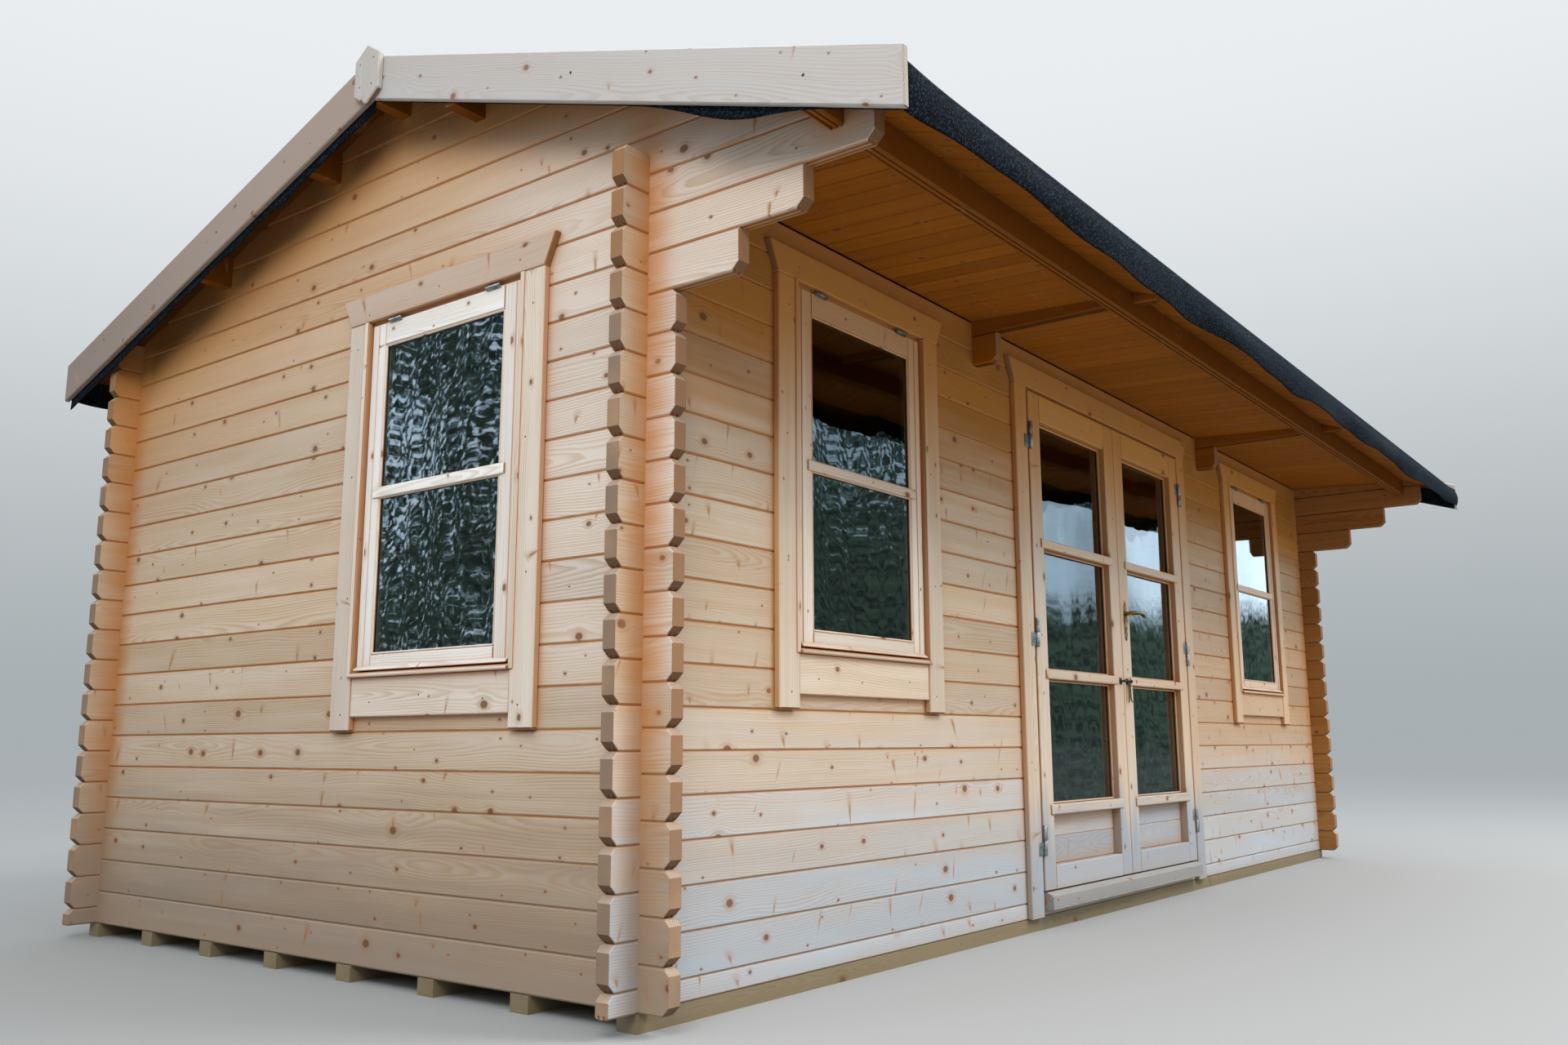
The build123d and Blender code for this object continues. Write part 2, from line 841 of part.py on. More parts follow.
def mirrored(solid):
    """The right-hand form of a piece drawn for the left leaf."""
    return mirror(solid, about=Plane.YZ)


def hinge_places():
    """Pin axes of the left and the right leaf, at the leaves' lower edge."""
    left = Pos(door_left + door_gap / 2, leaf_face - hinge_out, leaf_foot)
    right = Pos(door_right - door_gap / 2, leaf_face - hinge_out, leaf_foot)
    return left, right


def lever_centre():
    """Centre of the spindle on the right leaf's outer face."""
    x = door_right - door_gap - right_leaf_width + stile_width / 2
    return x, leaf_foot + lever_height


def backplates():
    """Long plates with rounded ends, on both faces of the right leaf."""
    x, z = lever_centre()
    half = plate_width / 2
    middle = z + plate_above_lever - plate_height / 2
    straight = plate_height / 2 - half
    outline = []
    for start, centre in ((0, middle + straight), (180, middle - straight)):
        for step in range(rod_sides // 2 + 1):
            angle = math.radians(start + 360 * step / rod_sides)
            outline.append((x + half * math.cos(angle), centre + half * math.sin(angle)))
    plates = []
    for y0 in (leaf_face - backplate_thickness, leaf_face + leaf_thickness):
        plate = prism_y(outline, y0, y0 + backplate_thickness)
        hole = Pos(x, y0, z) * Rot(90, 0, 0) * Cylinder(spindle_radius + spindle_clearance, 4 * half)
        plates.append(plate - hole)
    return plates


def spindle_hole():
    """Hole through the right leaf for the spindle."""
    x, z = lever_centre()
    return Pos(x, leaf_face, z) * Rot(90, 0, 0) * Cylinder(spindle_radius + spindle_clearance, 4 * leaf_thickness)


def lever_handle():
    """Levers on both faces, joined by the spindle."""
    x, z = lever_centre()
    near = leaf_face - lever_standoff
    far = leaf_face + leaf_thickness + lever_standoff
    solid = Pos(x, (near + far) / 2, z) * Rot(90, 0, 0) * Cylinder(spindle_radius, far - near + 2 * lever_radius)
    for y in (near, far):
        grip = Pos(x, y, z) * Rot(0, 90, 0) * rod(lever_radius, 0, lever_length)
        solid += grip
    return solid


def staple(x, width, drop):
    """Wire staple on the outer face: an eye plate with a loop that hangs from it."""
    y = leaf_face
    z = leaf_foot + staple_height
    plate = block(x - width / 2, x + width / 2, y - 3, y, z - 14, z + 14)
    for side in (-1, 1):
        wire_x = x + side * (width / 2 - staple_wire)
        plate += block(wire_x - staple_wire / 2, wire_x + staple_wire / 2, y - 3 - staple_wire, y - 3, z - drop, z)
    bar_z = z - drop
    plate += block(x - width / 2, x + width / 2, y - 3 - staple_wire, y - 3, bar_z - staple_wire, bar_z)
    return plate


def left_hardware():
    """Hinges and staple of the left leaf."""
    place, _ = hinge_places()
    pieces = [place * leaf_hinge(z) for z in hinge_heights()]
    edge = door_left + door_gap + left_leaf_width
    pieces.append(staple(edge - 34, 26, 24))
    return pieces


def right_hardware():
    """Hinges and hasp of the right leaf."""
    _, place = hinge_places()
    pieces = [place * mirrored(leaf_hinge(z)) for z in hinge_heights()]
    edge = door_right - door_gap - right_leaf_width
    pieces.append(staple(edge + 34, 30, 88))
    return pieces


def frame_hinges():
    """Frame halves of all six hinges."""
    left, right = hinge_places()
    pieces = [left * frame_hinge(z) for z in hinge_heights()]
    pieces += [right * mirrored(frame_hinge(z)) for z in hinge_heights()]
    return pieces


def build():
    """Every node of the cabin by name."""
    nodes = {"bearers": bearers(), "floor_deck": floor_deck()}
    nodes.update(front_pieces())
    nodes["back_wall"] = back_wall()
    (left0, left1), (right0, right1) = gable_ranges()
    nodes["gable_wall_left"] = gable_wall(left0, left1, window=True)
    nodes["gable_wall_right"] = gable_wall(right0, right1)
    nodes["canopy_purlin"] = canopy_purlin()
    nodes["ridge_purlin"] = purlin("ridge")
    nodes["slope_purlins"] = [purlin(name) for name in ("front", "back_near", "back_far")]
    nodes["tie_beams"] = [tie_beam(x0, x1) for x0, x1 in tie_ranges()]
    nodes["truss_rafters"] = [rafter(x0, x1, side) for x0, x1 in tie_ranges() for side in (-1, 1)]
    nodes["king_posts"] = [king_post(x0, x1) for x0, x1 in tie_ranges()]
    nodes["roof_boards_front"] = roof_boards(-1)
    nodes["roof_boards_back"] = roof_boards(1)
    nodes["roof_felt_front"] = roof_felt(-1)
    nodes["roof_felt_back"] = roof_felt(1)
    nodes["porch_ceiling"] = porch_ceiling()
    inner = roof_half_length + felt_thickness
    outer = inner + bargeboard_thickness
    nodes["bargeboards_left"] = [bargeboard(side, -outer, -inner) for side in (-1, 1)]
    nodes["bargeboards_right"] = [bargeboard(side, inner, outer) for side in (-1, 1)]
    face = outer + plate_thickness
    nodes["ridge_plates"] = [ridge_plate(-face, -outer), ridge_plate(outer, face)]
    places = window_places()
    for name, place in places.items():
        nodes[name + "_frame"] = place * window_surround()
        nodes[name + "_sash"] = place * window_sash()
    nodes["window_glass"] = [place * pane for place in places.values() for pane in window_panes()]
    hinge_x = sash_width / 2 - window_hinge_inset
    nodes["window_hinges"] = [
        place * window_hinge(x) for place in places.values() for x in (-hinge_x, hinge_x)
    ]
    nodes["door_frame"] = door_frame()
    nodes["door_trim"] = door_trim()
    nodes["threshold"] = threshold()
    left, right = leaf_places()
    nodes["left_leaf"] = left * leaf_blank(left_leaf_width)
    nodes["right_leaf"] = right * mirrored(leaf_blank(right_leaf_width)) - spindle_hole()
    nodes["left_leaf_glass"] = [left * pane for pane in leaf_panes(left_leaf_width)]
    nodes["right_leaf_glass"] = [right * mirrored(pane) for pane in leaf_panes(right_leaf_width)]
    nodes["frame_hinges"] = frame_hinges()
    nodes["left_leaf_hardware"] = left_hardware()
    nodes["right_leaf_hardware"] = right_hardware()
    nodes["lock_plates"] = backplates()
    nodes["lever_handle"] = lever_handle()
    return nodes


def write(nodes):
    """One STEP file for each node."""
    os.makedirs("parts", exist_ok=True)
    for name, shape in nodes.items():
        solids = shape if isinstance(shape, list) else [shape]
        parts = [solid for piece in solids for solid in piece.solids()]
        export_step(Compound(children=parts) if len(parts) > 1 else parts[0], f"parts/{name}.step")


write(build())
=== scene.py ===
"""Garden cabin of interlocking logs: its boards, felt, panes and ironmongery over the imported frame.

Lengths are in metres, in the frame of the solids: X along the front wall, Y to the back, Z up.
"""

import logging
import math
import random
from dataclasses import dataclass, field, replace
from enum import Enum
from typing import Iterable, Iterator, Optional, Sequence, Union

import bmesh
import bpy
from mathutils import Matrix, Vector, noise


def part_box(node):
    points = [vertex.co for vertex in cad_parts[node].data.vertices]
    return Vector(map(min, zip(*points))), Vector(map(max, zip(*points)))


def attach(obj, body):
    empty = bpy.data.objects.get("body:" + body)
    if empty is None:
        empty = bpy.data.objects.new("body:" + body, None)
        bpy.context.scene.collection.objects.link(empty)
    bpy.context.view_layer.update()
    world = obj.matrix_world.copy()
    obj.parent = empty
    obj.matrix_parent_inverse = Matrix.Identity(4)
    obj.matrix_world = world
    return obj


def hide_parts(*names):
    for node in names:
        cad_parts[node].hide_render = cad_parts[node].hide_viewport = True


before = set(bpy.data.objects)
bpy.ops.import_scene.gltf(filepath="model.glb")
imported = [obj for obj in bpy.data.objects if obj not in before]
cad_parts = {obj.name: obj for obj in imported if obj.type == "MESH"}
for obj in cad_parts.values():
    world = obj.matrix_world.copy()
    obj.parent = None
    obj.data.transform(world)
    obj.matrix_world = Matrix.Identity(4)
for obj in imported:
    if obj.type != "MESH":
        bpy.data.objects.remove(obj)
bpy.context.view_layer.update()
LOG = logging.getLogger("cabin")

Colour = tuple[float, float, float]
Point = tuple[float, float, float]
Span = tuple[float, float]
Mesh = bmesh.types.BMesh
Material = bpy.types.Material
Number = Union[float, "Value"]

BOTH = (-1.0, 1.0)  # left and right, or front and back
FINE = 0.0012  # arris of sawn frames and floor boards
EASED = 0.003  # arris of planed trims and sashes
LAPPED = 0.0035  # arris of tongued boards
HAIR = 1e-4  # what counts as touching
SLIVER = 0.004  # logs no thicker than this are left out


class Grain(Enum):
    """Way that a board's grain runs."""

    X = (1.0, 0.0, 0.0)
    Y = (0.0, 1.0, 0.0)
    Z = (0.0, 0.0, 1.0)

    @property
    def vector(self) -> Vector:
        """Direction as a vector."""
        return Vector(self.value)


class Side(Enum):
    """Slope of the roof."""

    FRONT = -1
    BACK = 1


class Pattern(Enum):
    """What a timber finish reads: the board's own coordinates, or object axes, that of the grain first."""

    BOARD = ()
    X = (0, 1, 2)
    Y = (1, 0, 2)
    Z = (2, 0, 1)


@dataclass(frozen=True)
class Plan:
    """Main sizes of the cabin."""

    course: float = 0.114
    log: float = 0.044
    log_end: float = 0.101
    groove: float = 0.0052
    tongue: float = 0.009
    slot_centre: float = 0.0085
    slot_half: float = 0.0035
    chamfer_low: float = 0.024
    chamfer_high: float = 0.018
    half_length: float = 2.9925
    front: float = -1.1
    back: float = 1.704
    base: float = 0.048
    courses: int = 19
    slope: float = 0.3346
    roof_board: float = 0.019
    eave: float = 1.98
    ridge: float = 2.82953
    verge: float = 3.1105

    @property
    def wall_top(self) -> float:
        """Top of the front wall."""
        return self.base + (self.courses + 0.5) * self.course

    @property
    def pitch(self) -> float:
        """Angle of the roof."""
        return math.atan(self.slope)

    def underside(self, y: float) -> float:
        """Height of the roof boards' underside over the line y."""
        return self.ridge - self.slope * abs(y)


PLAN = Plan()


# Finishes
class Value:
    """Output of a node, with arithmetic that lays out further nodes."""

    def __init__(self, graph: "Graph", socket: bpy.types.NodeSocket) -> None:
        """Keep the socket and its graph."""
        self.graph = graph
        self.socket = socket

    def math(self, operation: str, *others: Number) -> "Value":
        """Put this value, and further ones, through a Math node."""
        return self.graph.value("ShaderNodeMath", dict(enumerate((self, *others))), operation=operation)

    def __add__(self, other: Number) -> "Value":
        """Sum."""
        return self.math("ADD", other)

    def __sub__(self, other: Number) -> "Value":
        """Difference."""
        return self.math("SUBTRACT", other)

    def __mul__(self, other: Number) -> "Value":
        """Product."""
        return self.math("MULTIPLY", other)

    def __truediv__(self, other: Number) -> "Value":
        """Quotient."""
        return self.math("DIVIDE", other)

    def __pow__(self, other: Number) -> "Value":
        """Power."""
        return self.math("POWER", other)

    def __neg__(self) -> "Value":
        """Opposite."""
        return self.math("MULTIPLY", -1.0)

    def __abs__(self) -> "Value":
        """Size without its sign."""
        return self.math("ABSOLUTE")

    def root(self) -> "Value":
        """Square root."""
        return self.math("SQRT")

    def fract(self) -> "Value":
        """Part after the point."""
        return self.math("FRACT")

    def most(self, other: Number) -> "Value":
        """Larger of two values."""
        return self.math("MAXIMUM", other)

    def band(self, low: float, high: float, start: float = 0.0, end: float = 1.0) -> "Value":
        """Ease from start at low to end at high."""
        inputs = dict(enumerate((self, low, high, start, end)))
        return self.graph.value("ShaderNodeMapRange", inputs, interpolation_type="SMOOTHSTEP", clamp=True)

    def fall(self, low: float, high: float) -> "Value":
        """Ease from 1 at low to 0 at high."""
        return self.band(low, high, 1.0, 0.0)

    def tint(self, colour: object, share: Number, blend: str = "MIX") -> "Value":
        """Mix this colour with a share of another."""
        return self.graph.mix(share, self, colour, blend)


class Graph:
    """Small helper that lays out the nodes of one tree."""

    def __init__(self, tree: bpy.types.NodeTree) -> None:
        """Start with an emptied tree."""
        self.tree = tree
        tree.nodes.clear()

    def node(self, kind: str, inputs: Optional[dict] = None, **settings: object) -> bpy.types.Node:
        """Add a node.

        Args:
            kind: Blender's name of the node type.
            inputs: Socket name or number with a constant or a Value.
            **settings: Properties of the node.

        Returns:
            The new node.
        """
        made = self.tree.nodes.new(kind)
        for key, value in settings.items():
            setattr(made, key, value)
        for key, value in (inputs or {}).items():
            if isinstance(value, Value):
                self.tree.links.new(value.socket, made.inputs[key])
            else:
                made.inputs[key].default_value = value
        return made

    def value(
        self, kind: str, inputs: Optional[dict] = None, output: Union[int, str] = 0, **settings: object
    ) -> Value:
        """Add a node and return one of its outputs."""
        return Value(self, self.node(kind, inputs, **settings).outputs[output])

    def split(self, whole: Value, kind: str = "ShaderNodeSeparateXYZ") -> list:
        """Parts of a vector or a colour."""
        return [Value(self, socket) for socket in self.node(kind, {0: whole}).outputs]

    def mix(self, factor: Number, first: object, second: object, blend: str = "MIX") -> Value:
        """Mix two colours.

        Args:
            factor: Share of the second colour.
            first: Colour or Value.
            second: Colour or Value.
            blend: Blend mode.

        Returns:
            The mixed colour.
        """
        colours = ((6, first), (7, second))
        inputs = {place: colour if isinstance(colour, Value) else (*colour, 1.0) for place, colour in colours}
        return self.value("ShaderNodeMix", {0: factor, **inputs}, 2, data_type="RGBA", blend_type=blend)

    def noise(self, vector: Value, scale: float = 1.0, detail: float = 2.0) -> Value:
        """Noise about 0.5."""
        return self.value("ShaderNodeTexNoise", {"Vector": vector, "Scale": scale, "Detail": detail}, "Fac")

    def vector(self, x: Number, y: Number, z: Number = 0.0) -> Value:
        """Join three numbers to a vector."""
        return self.value("ShaderNodeCombineXYZ", {0: x, 1: y, 2: z})

    def place(self) -> Value:
        """Where a point lies on the cabin."""
        return self.value("ShaderNodeTexCoord", output="Object")

    def attribute(self, name: str) -> Value:
        """Number that the mesh carries."""
        return self.value("ShaderNodeAttribute", output="Fac", attribute_name=name)


class Coat(Graph):
    """Nodes of one material, round its shader."""

    def __init__(self, name: str) -> None:
        """Start an empty material.

        Args:
            name: Name of the material.
        """
        self.material = bpy.data.materials.new(name)
        self.material.use_nodes = True
        super().__init__(self.material.node_tree)
        self.shader = self.node("ShaderNodeBsdfPrincipled")
        self.node("ShaderNodeOutputMaterial", {0: Value(self, self.shader.outputs[0])})

    def bump(self, height: Value, strength: float, distance: float) -> None:
        """Give the shader a bump of this depth in metres."""
        made = self.node("ShaderNodeBump", {"Height": height, "Strength": strength, "Distance": distance})
        self.tree.links.new(made.outputs[0], self.shader.inputs["Normal"])

    def shade(self, **values: object) -> Material:
        """Set sockets of the shader.

        Args:
            **values: Socket names, with _ for a space.

        Returns:
            The material.
        """
        for key, value in values.items():
            socket = self.shader.inputs[key.replace("_", " ")]
            if isinstance(value, Value):
                self.tree.links.new(value.socket, socket)
            else:
                socket.default_value = (*value, 1.0) if socket.type == "RGBA" else value
        return self.material


@dataclass(frozen=True)
class Knots:
    """Where the knots of a timber lie on its surface."""

    mask: Value
    halo: Value
    pull: Value


@dataclass(frozen=True)
class Surface:
    """What a timber finish knows of a point: its place along and across the grain and its board's number."""

    graph: Graph
    along: Value
    across: Value
    tone: Value

    def streaks(self, along: float, across: float, detail: float, line: Optional[Value] = None) -> Value:
        """Noise with these scales along and across the grain, or across a line in it."""
        return self.graph.noise(
            self.graph.vector(self.along * along, (line or self.across) * across, self.tone), 1.0, detail
        )

    def cell(self, wide: float, high: float) -> tuple:
        """Scatter places over the surface, one to a cell.

        Args:
            wide: Cells per metre along the grain.
            high: Cells per metre across it.

        Returns:
            Distance along and across from the nearest place, and its three random numbers.
        """
        graph = self.graph
        spread = graph.vector(self.along * wide, self.across * high)
        inputs = {"Vector": spread, "Scale": 1.0, "Randomness": 1.0}
        cells = graph.node("ShaderNodeTexVoronoi", inputs, voronoi_dimensions="2D").outputs
        nearest, colour = Value(graph, cells["Position"]), Value(graph, cells["Color"])
        away = graph.value("ShaderNodeVectorMath", {0: spread, 1: nearest}, operation="SUBTRACT")
        dx, dy, _ = graph.split(away)
        return dx / wide, dy / high, *graph.split(colour, "ShaderNodeSeparateColor")


@dataclass(frozen=True)
class TimberFinish:
    """Planed softwood with its rings, fibres, knots and weathering, and with such painted shade and
    highlights as it is given.
    """

    name: str
    pale: Colour = (0.67, 0.54, 0.42)
    deep: Colour = (0.61, 0.44, 0.285)
    ring: Colour = (0.42, 0.235, 0.105)
    knot: Colour = (0.165, 0.058, 0.02)
    slash: Colour = (0.36, 0.15, 0.05)
    grey: Colour = (0.60, 0.565, 0.535)
    grey_low: float = 0.05
    grey_top: float = 0.8
    grey_share: float = 0.85
    # Golden tone of wood kept dry under the porch, darkened as painted shade of the eave and porch roof
    fresh: Colour = (0.58, 0.31, 0.10)
    fresh_share: float = 0.0
    fresh_from: float = 1.45
    gold_shade_full: float = 2.15
    # Painted shade under the verges: golden, amber and dark umber tints
    golden: Colour = (0.53, 0.235, 0.055)
    verge_shade_amber: Colour = (0.52, 0.23, 0.055)
    verge_shadow_umber: Colour = (0.13, 0.04, 0.006)
    verge_shade_share: float = 0.0
    joint: Colour = (0.32, 0.14, 0.043)
    joint_greyed: Colour = (0.21, 0.15, 0.105)
    corner: Colour = (0.56, 0.26, 0.085)
    stain: float = 0.0
    knots: float = 0.75
    slashes: float = 0.35
    contrast: float = 1.0
    rings: float = 145.0
    # Painted contact shade in crevices: warm and dark, greyed low down
    runs: Colour = (0.52, 0.215, 0.06)
    crevice_shade_greyed: Colour = (0.36, 0.26, 0.18)
    seep: float = 0.0
    # Painted highlight: a paler patch on the front half of the gable
    gable_highlight_tone: Colour = (0.74, 0.68, 0.63)
    gable_highlight: float = 0.0
    # Painted shade on the verge boards of the back slope
    back_verge_shade_tone: Colour = (0.387, 0.279, 0.218)
    back_verge_far_shade: Colour = (0.17, 0.115, 0.08)
    back_verge_shade: float = 0.0
    # Painted shadow on the undersides of the roof boards where they overhang the gables
    overhang_shadow: Colour = (0.05, 0.016, 0.004)
    eave_shade: float = 0.0
    roughness: float = 0.52
    gloss: float = 0.18
    pattern: Pattern = Pattern.BOARD

    def surface(self, graph: Graph) -> Surface:
        """Lay the grain over the surface.

        Args:
            graph: Material being made.

        Returns:
            The surface.
        """
        if self.pattern is Pattern.BOARD:
            along, across, _ = graph.split(graph.value("ShaderNodeUVMap", uv_map="grain"))
            return Surface(graph, along, across, graph.attribute("tone"))
        place = graph.split(graph.place())
        along, first, second = (place[i] for i in self.pattern.value)
        across = first + second
        return Surface(graph, along + first * 0.41, across, (across * 0.37).fract())

    def round_knots(self, face: Surface, ragged: Value) -> Knots:
        """Round and oval knots where a branch is cut across.

        Args:
            face: Surface that they lie on.
            ragged: Noise that roughens their outlines.

        Returns:
            The knots.
        """
        dx, dy, chance, size, _ = face.cell(4.3, 11.0)
        live = chance.math("GREATER_THAN", 1.0 - self.knots)
        radius = size**3.0 * 0.0105 + 0.0028
        flat = dx * 0.75
        reach = (flat * flat + dy * dy).root()
        ratio = (reach + (ragged * 0.0028 - 0.0014)) / radius
        fade = (ratio * ratio * -0.12).math("EXPONENT")
        return Knots(ratio.fall(0.7, 1.12) * live, ratio.fall(0.8, 2.7) * live, dy * fade * live)

    def slash_knots(self, face: Surface, ragged: Value) -> Knots:
        """Tapered streaks across the grain where a branch is cut along its length.

        Args:
            face: Surface that they lie on.
            ragged: Noise that roughens their outlines.

        Returns:
            The knots.
        """
        dx, dy, chance, size, lean = face.cell(4.9, 8.3)
        live = chance.math("GREATER_THAN", 1.0 - self.slashes)
        share = dy / (size * size * 0.026 + 0.007)
        taper = (lean * 0.0058 + 0.0019) * (share * 0.45 + 0.6).most(0.15)
        shift = dx + dy * (lean * 0.9 - 0.45) + (ragged * 0.003 - 0.0015)
        wide = shift / taper
        ratio = (wide * wide + share * share).root()
        halo = ratio.fall(0.9, 3.2) * live
        return Knots(ratio.fall(0.55, 1.15) * live, halo, halo * 0.0035)

    def make(self) -> Material:
        """Build the material.

        Returns:
            The finished material.
        """
        graph = Coat(self.name)
        face = self.surface(graph)
        along, across, tone = face.along, face.across, face.tone
        ragged = graph.noise(graph.vector(along, across, tone), 150.0, 1.0)
        knots, slashes = self.round_knots(face, ragged), self.slash_knots(face, ragged)
        line = across + face.streaks(0.55, 2.6, 2.0) * 0.08 - (knots.pull + slashes.pull)
        streak = face.streaks(0.5, 38.0, 3.0, line)
        aside = (tone * 3.7 + line).math("PINGPONG", 0.15)
        depth = graph.noise(graph.vector(along * 1.35, tone * 31.0), 1.0, 1.0) * 0.11 - 0.02
        radius = (aside * aside + depth * depth).root()
        phase = (streak * 1.7 + radius * self.rings).fract()
        late = phase.band(0.2, 0.86) * phase.fall(0.88, 1.0)
        cloud = face.streaks(1.6, 9.0, 3.0)
        fibre = face.streaks(12.0, 700.0, 2.0, line)
        weight = late * cloud.band(0.22, 0.62)
        share = streak.band(0.36, 0.66) * 0.45 + (tone * 7.31).fract() * 0.42
        base = graph.mix(share, self.pale, self.deep)
        base = base.tint(self.deep, cloud.band(0.46, 0.74) * 0.4)
        base = self.weather(face, base)
        base = base.tint(self.ring, weight * (0.6 * self.contrast))
        base = base.tint(self.ring, fibre.band(0.5, 0.85) * (0.2 * self.contrast))
        lift = (tone * 13.7).fract() * 0.2 + 0.88
        base = base.tint(graph.vector(lift, lift, lift), 1.0, "MULTIPLY")
        base = base.tint(self.slash, knots.halo.most(slashes.halo) * 0.36)
        base = base.tint(self.slash, slashes.mask * 0.82)
        base = base.tint(self.knot, knots.mask * 0.85)
        clean = graph.split(graph.place())[2].band(0.1, 0.85) if self.grey_share else 1.0
        if self.pattern is Pattern.BOARD:
            joint = graph.mix(clean, self.joint_greyed, self.joint)
            base = base.tint(joint, graph.attribute("crease") ** 1.3 * 0.8)
        # Painted contact shade: warmer and darker where ambient occlusion finds surfaces close by
        if self.seep:
            near = graph.value("ShaderNodeAmbientOcclusion", {"Distance": 0.11}, "AO", samples=3)
            base = base.tint(graph.mix(clean, self.crevice_shade_greyed, self.runs), near.fall(0.45, 1.0) * self.seep)
        graph.bump(fibre * 0.5 - weight * 0.6 - knots.mask * 0.8, 0.4, 0.0006)
        rough = fibre * 0.16 + (self.roughness - 0.08)
        return graph.shade(Base_Color=base, Roughness=rough, Specular_IOR_Level=self.gloss)

    def weather(self, face: Surface, base: Value) -> Value:
        """Grey the timber near the ground, on the gable partly as painted shade; keep it golden under the
        porch with painted porch shade; paint shade under the verges, under the roof's overhangs and on the
        back verge boards, a highlight on the gable, and stain it at the corners.

        Args:
            face: Surface that weathers.
            base: Colour so far.

        Returns:
            The weathered colour.
        """
        x, y, z = face.graph.split(face.graph.place())
        patch = face.streaks(1.4, 22.0, 3.0)
        edge = PLAN.half_length
        # Painted shade under the eave and porch roof, partly the real golden tone of sheltered wood: dark
        # orange high up, a little low down by the door
        if self.fresh_share:
            under_porch = (patch * 0.4 + (z - 0.2)).band(self.fresh_from, self.gold_shade_full)
            deep_in = x.band(-1.0, 2.2) * z.band(0.1, 0.9) * 0.4
            covered = abs(x).fall(edge - 0.05, edge)
            base = base.tint(self.fresh, under_porch.most(deep_in) * covered * self.fresh_share)
        # Painted shade under the verges: a golden tint about a metre deep, stronger under the back slope, an
        # amber one nearer the roof and a dark umber shadow right under it, faded out at the front corner
        if self.verge_shade_share:
            below = abs(y) * -PLAN.slope + PLAN.ridge - z
            painted_verge_shade = (patch * -0.16 + below).fall(-0.05, 0.95) * (y.band(-0.7, 0.7) * 0.44 + 0.54)
            base = base.tint(self.golden, painted_verge_shade * self.verge_shade_share)
            base = base.tint(self.verge_shade_amber, below.fall(0.05, 0.38) * 0.6)
            base = base.tint(self.verge_shadow_umber, below.fall(0.05, 0.33) * y.band(-1.1, 0.1) * self.verge_shade_share)
        # Painted highlight: paler on the front half of the gable, from about 0.5 m to 2.6 m up
        if self.gable_highlight:
            bright = (-y).band(0.1, 0.75) * z.band(0.5, 1.2) * z.fall(2.2, 2.6)
            base = base.tint(self.gable_highlight_tone, bright * self.gable_highlight)
        if self.stain:
            beyond = (abs(x) - 2.97).most(-0.4)
            aside = abs(y - 0.302) - 1.38
            near = (beyond * beyond + aside * aside).root().fall(0.01, 0.14)
            base = base.tint(self.corner, near * patch.band(0.3, 0.62) * self.stain)
        # Painted shadow near the gable ends, where the roof boards overhang
        if self.eave_shade:
            base = base.tint(self.overhang_shadow, abs(x).band(edge - 0.09, edge) * self.eave_shade)
        # Greyer towards the ground; on the gable this is partly painted shade
        if self.grey_share:
            level = z + (patch * 0.5 - 0.25) + (face.tone * 0.16 - 0.08)
            base = base.tint(self.grey, level.fall(self.grey_low, self.grey_top) * self.grey_share)
        # Painted shade: the back slope's verge boards darker, darker still towards the back
        if self.back_verge_shade:
            base = base.tint(self.back_verge_shade_tone, y.band(-0.03, 0.03) * self.back_verge_shade)
            base = base.tint(self.back_verge_far_shade, y.band(0.5, 2.0) * 0.45)
        return base


@dataclass(frozen=True)
class EndGrainFinish:
    """Sawn end of a board, with growth rings, rays and a grey bloom, painted shade on faces that look down, a
    painted highlight on those that look up, and darker orange high up, partly painted eave shade.
    """

    name: str
    pale: Colour = (0.445, 0.278, 0.162)
    ring: Colour = (0.15, 0.085, 0.05)
    grey: Colour = (0.25, 0.183, 0.137)
    # Painted shade on end faces that look down, painted highlight on those that look up
    underside_shade: Colour = (0.17, 0.085, 0.04)
    top_highlight: Colour = (0.60, 0.48, 0.38)
    # Darker orange high up: partly sheltered wood, partly painted eave shade
    sheltered_and_shaded: Colour = (0.37, 0.18, 0.07)
    warm: Colour = (0.36, 0.175, 0.08)
    warmth: float = 0.8
    bloom: float = 0.8

    def make(self) -> Material:
        """Build the material.

        Returns:
            The finished material.
        """
        graph = Coat(self.name)
        laid = graph.value("ShaderNodeUVMap", uv_map="grain")
        length = graph.value("ShaderNodeVectorMath", {0: laid}, "Value", operation="LENGTH")
        phase = (length * 260.0 + graph.noise(laid, 16.0) * 2.2).fract()
        late = phase.band(0.3, 0.9) * phase.fall(0.92, 1.0)
        fine = graph.noise(laid, 700.0)
        height = graph.split(graph.place())[2]
        _, side, up = graph.split(graph.value("ShaderNodeNewGeometry", output="Normal"))
        stain = graph.noise(graph.place(), 6.0, 3.0).band(0.25, 0.6)
        base = graph.mix(stain * self.bloom, self.pale, self.grey)
        # Darker orange above about 1.8 m: partly sheltered wood, partly painted eave shade
        base = base.tint(self.sheltered_and_shaded, height.band(1.8, 1.95) * 0.85)
        base = base.tint(self.warm, abs(side).band(0.4, 0.7) * height.band(0.05, 0.75) * self.warmth)
        # Painted shade on faces that look down, painted highlight on faces that look up
        base = base.tint(self.underside_shade, (-up).band(0.3, 0.7) * 0.8)
        base = base.tint(self.top_highlight, up.band(0.3, 0.7) * 0.5)
        base = base.tint(self.ring, late * 0.6)
        base = base.tint(self.ring, fine.band(0.45, 0.8) * 0.35)
        graph.bump(fine + late, 0.35, 0.0006)
        return graph.shade(Base_Color=base, Roughness=0.85, Specular_IOR_Level=0.2)


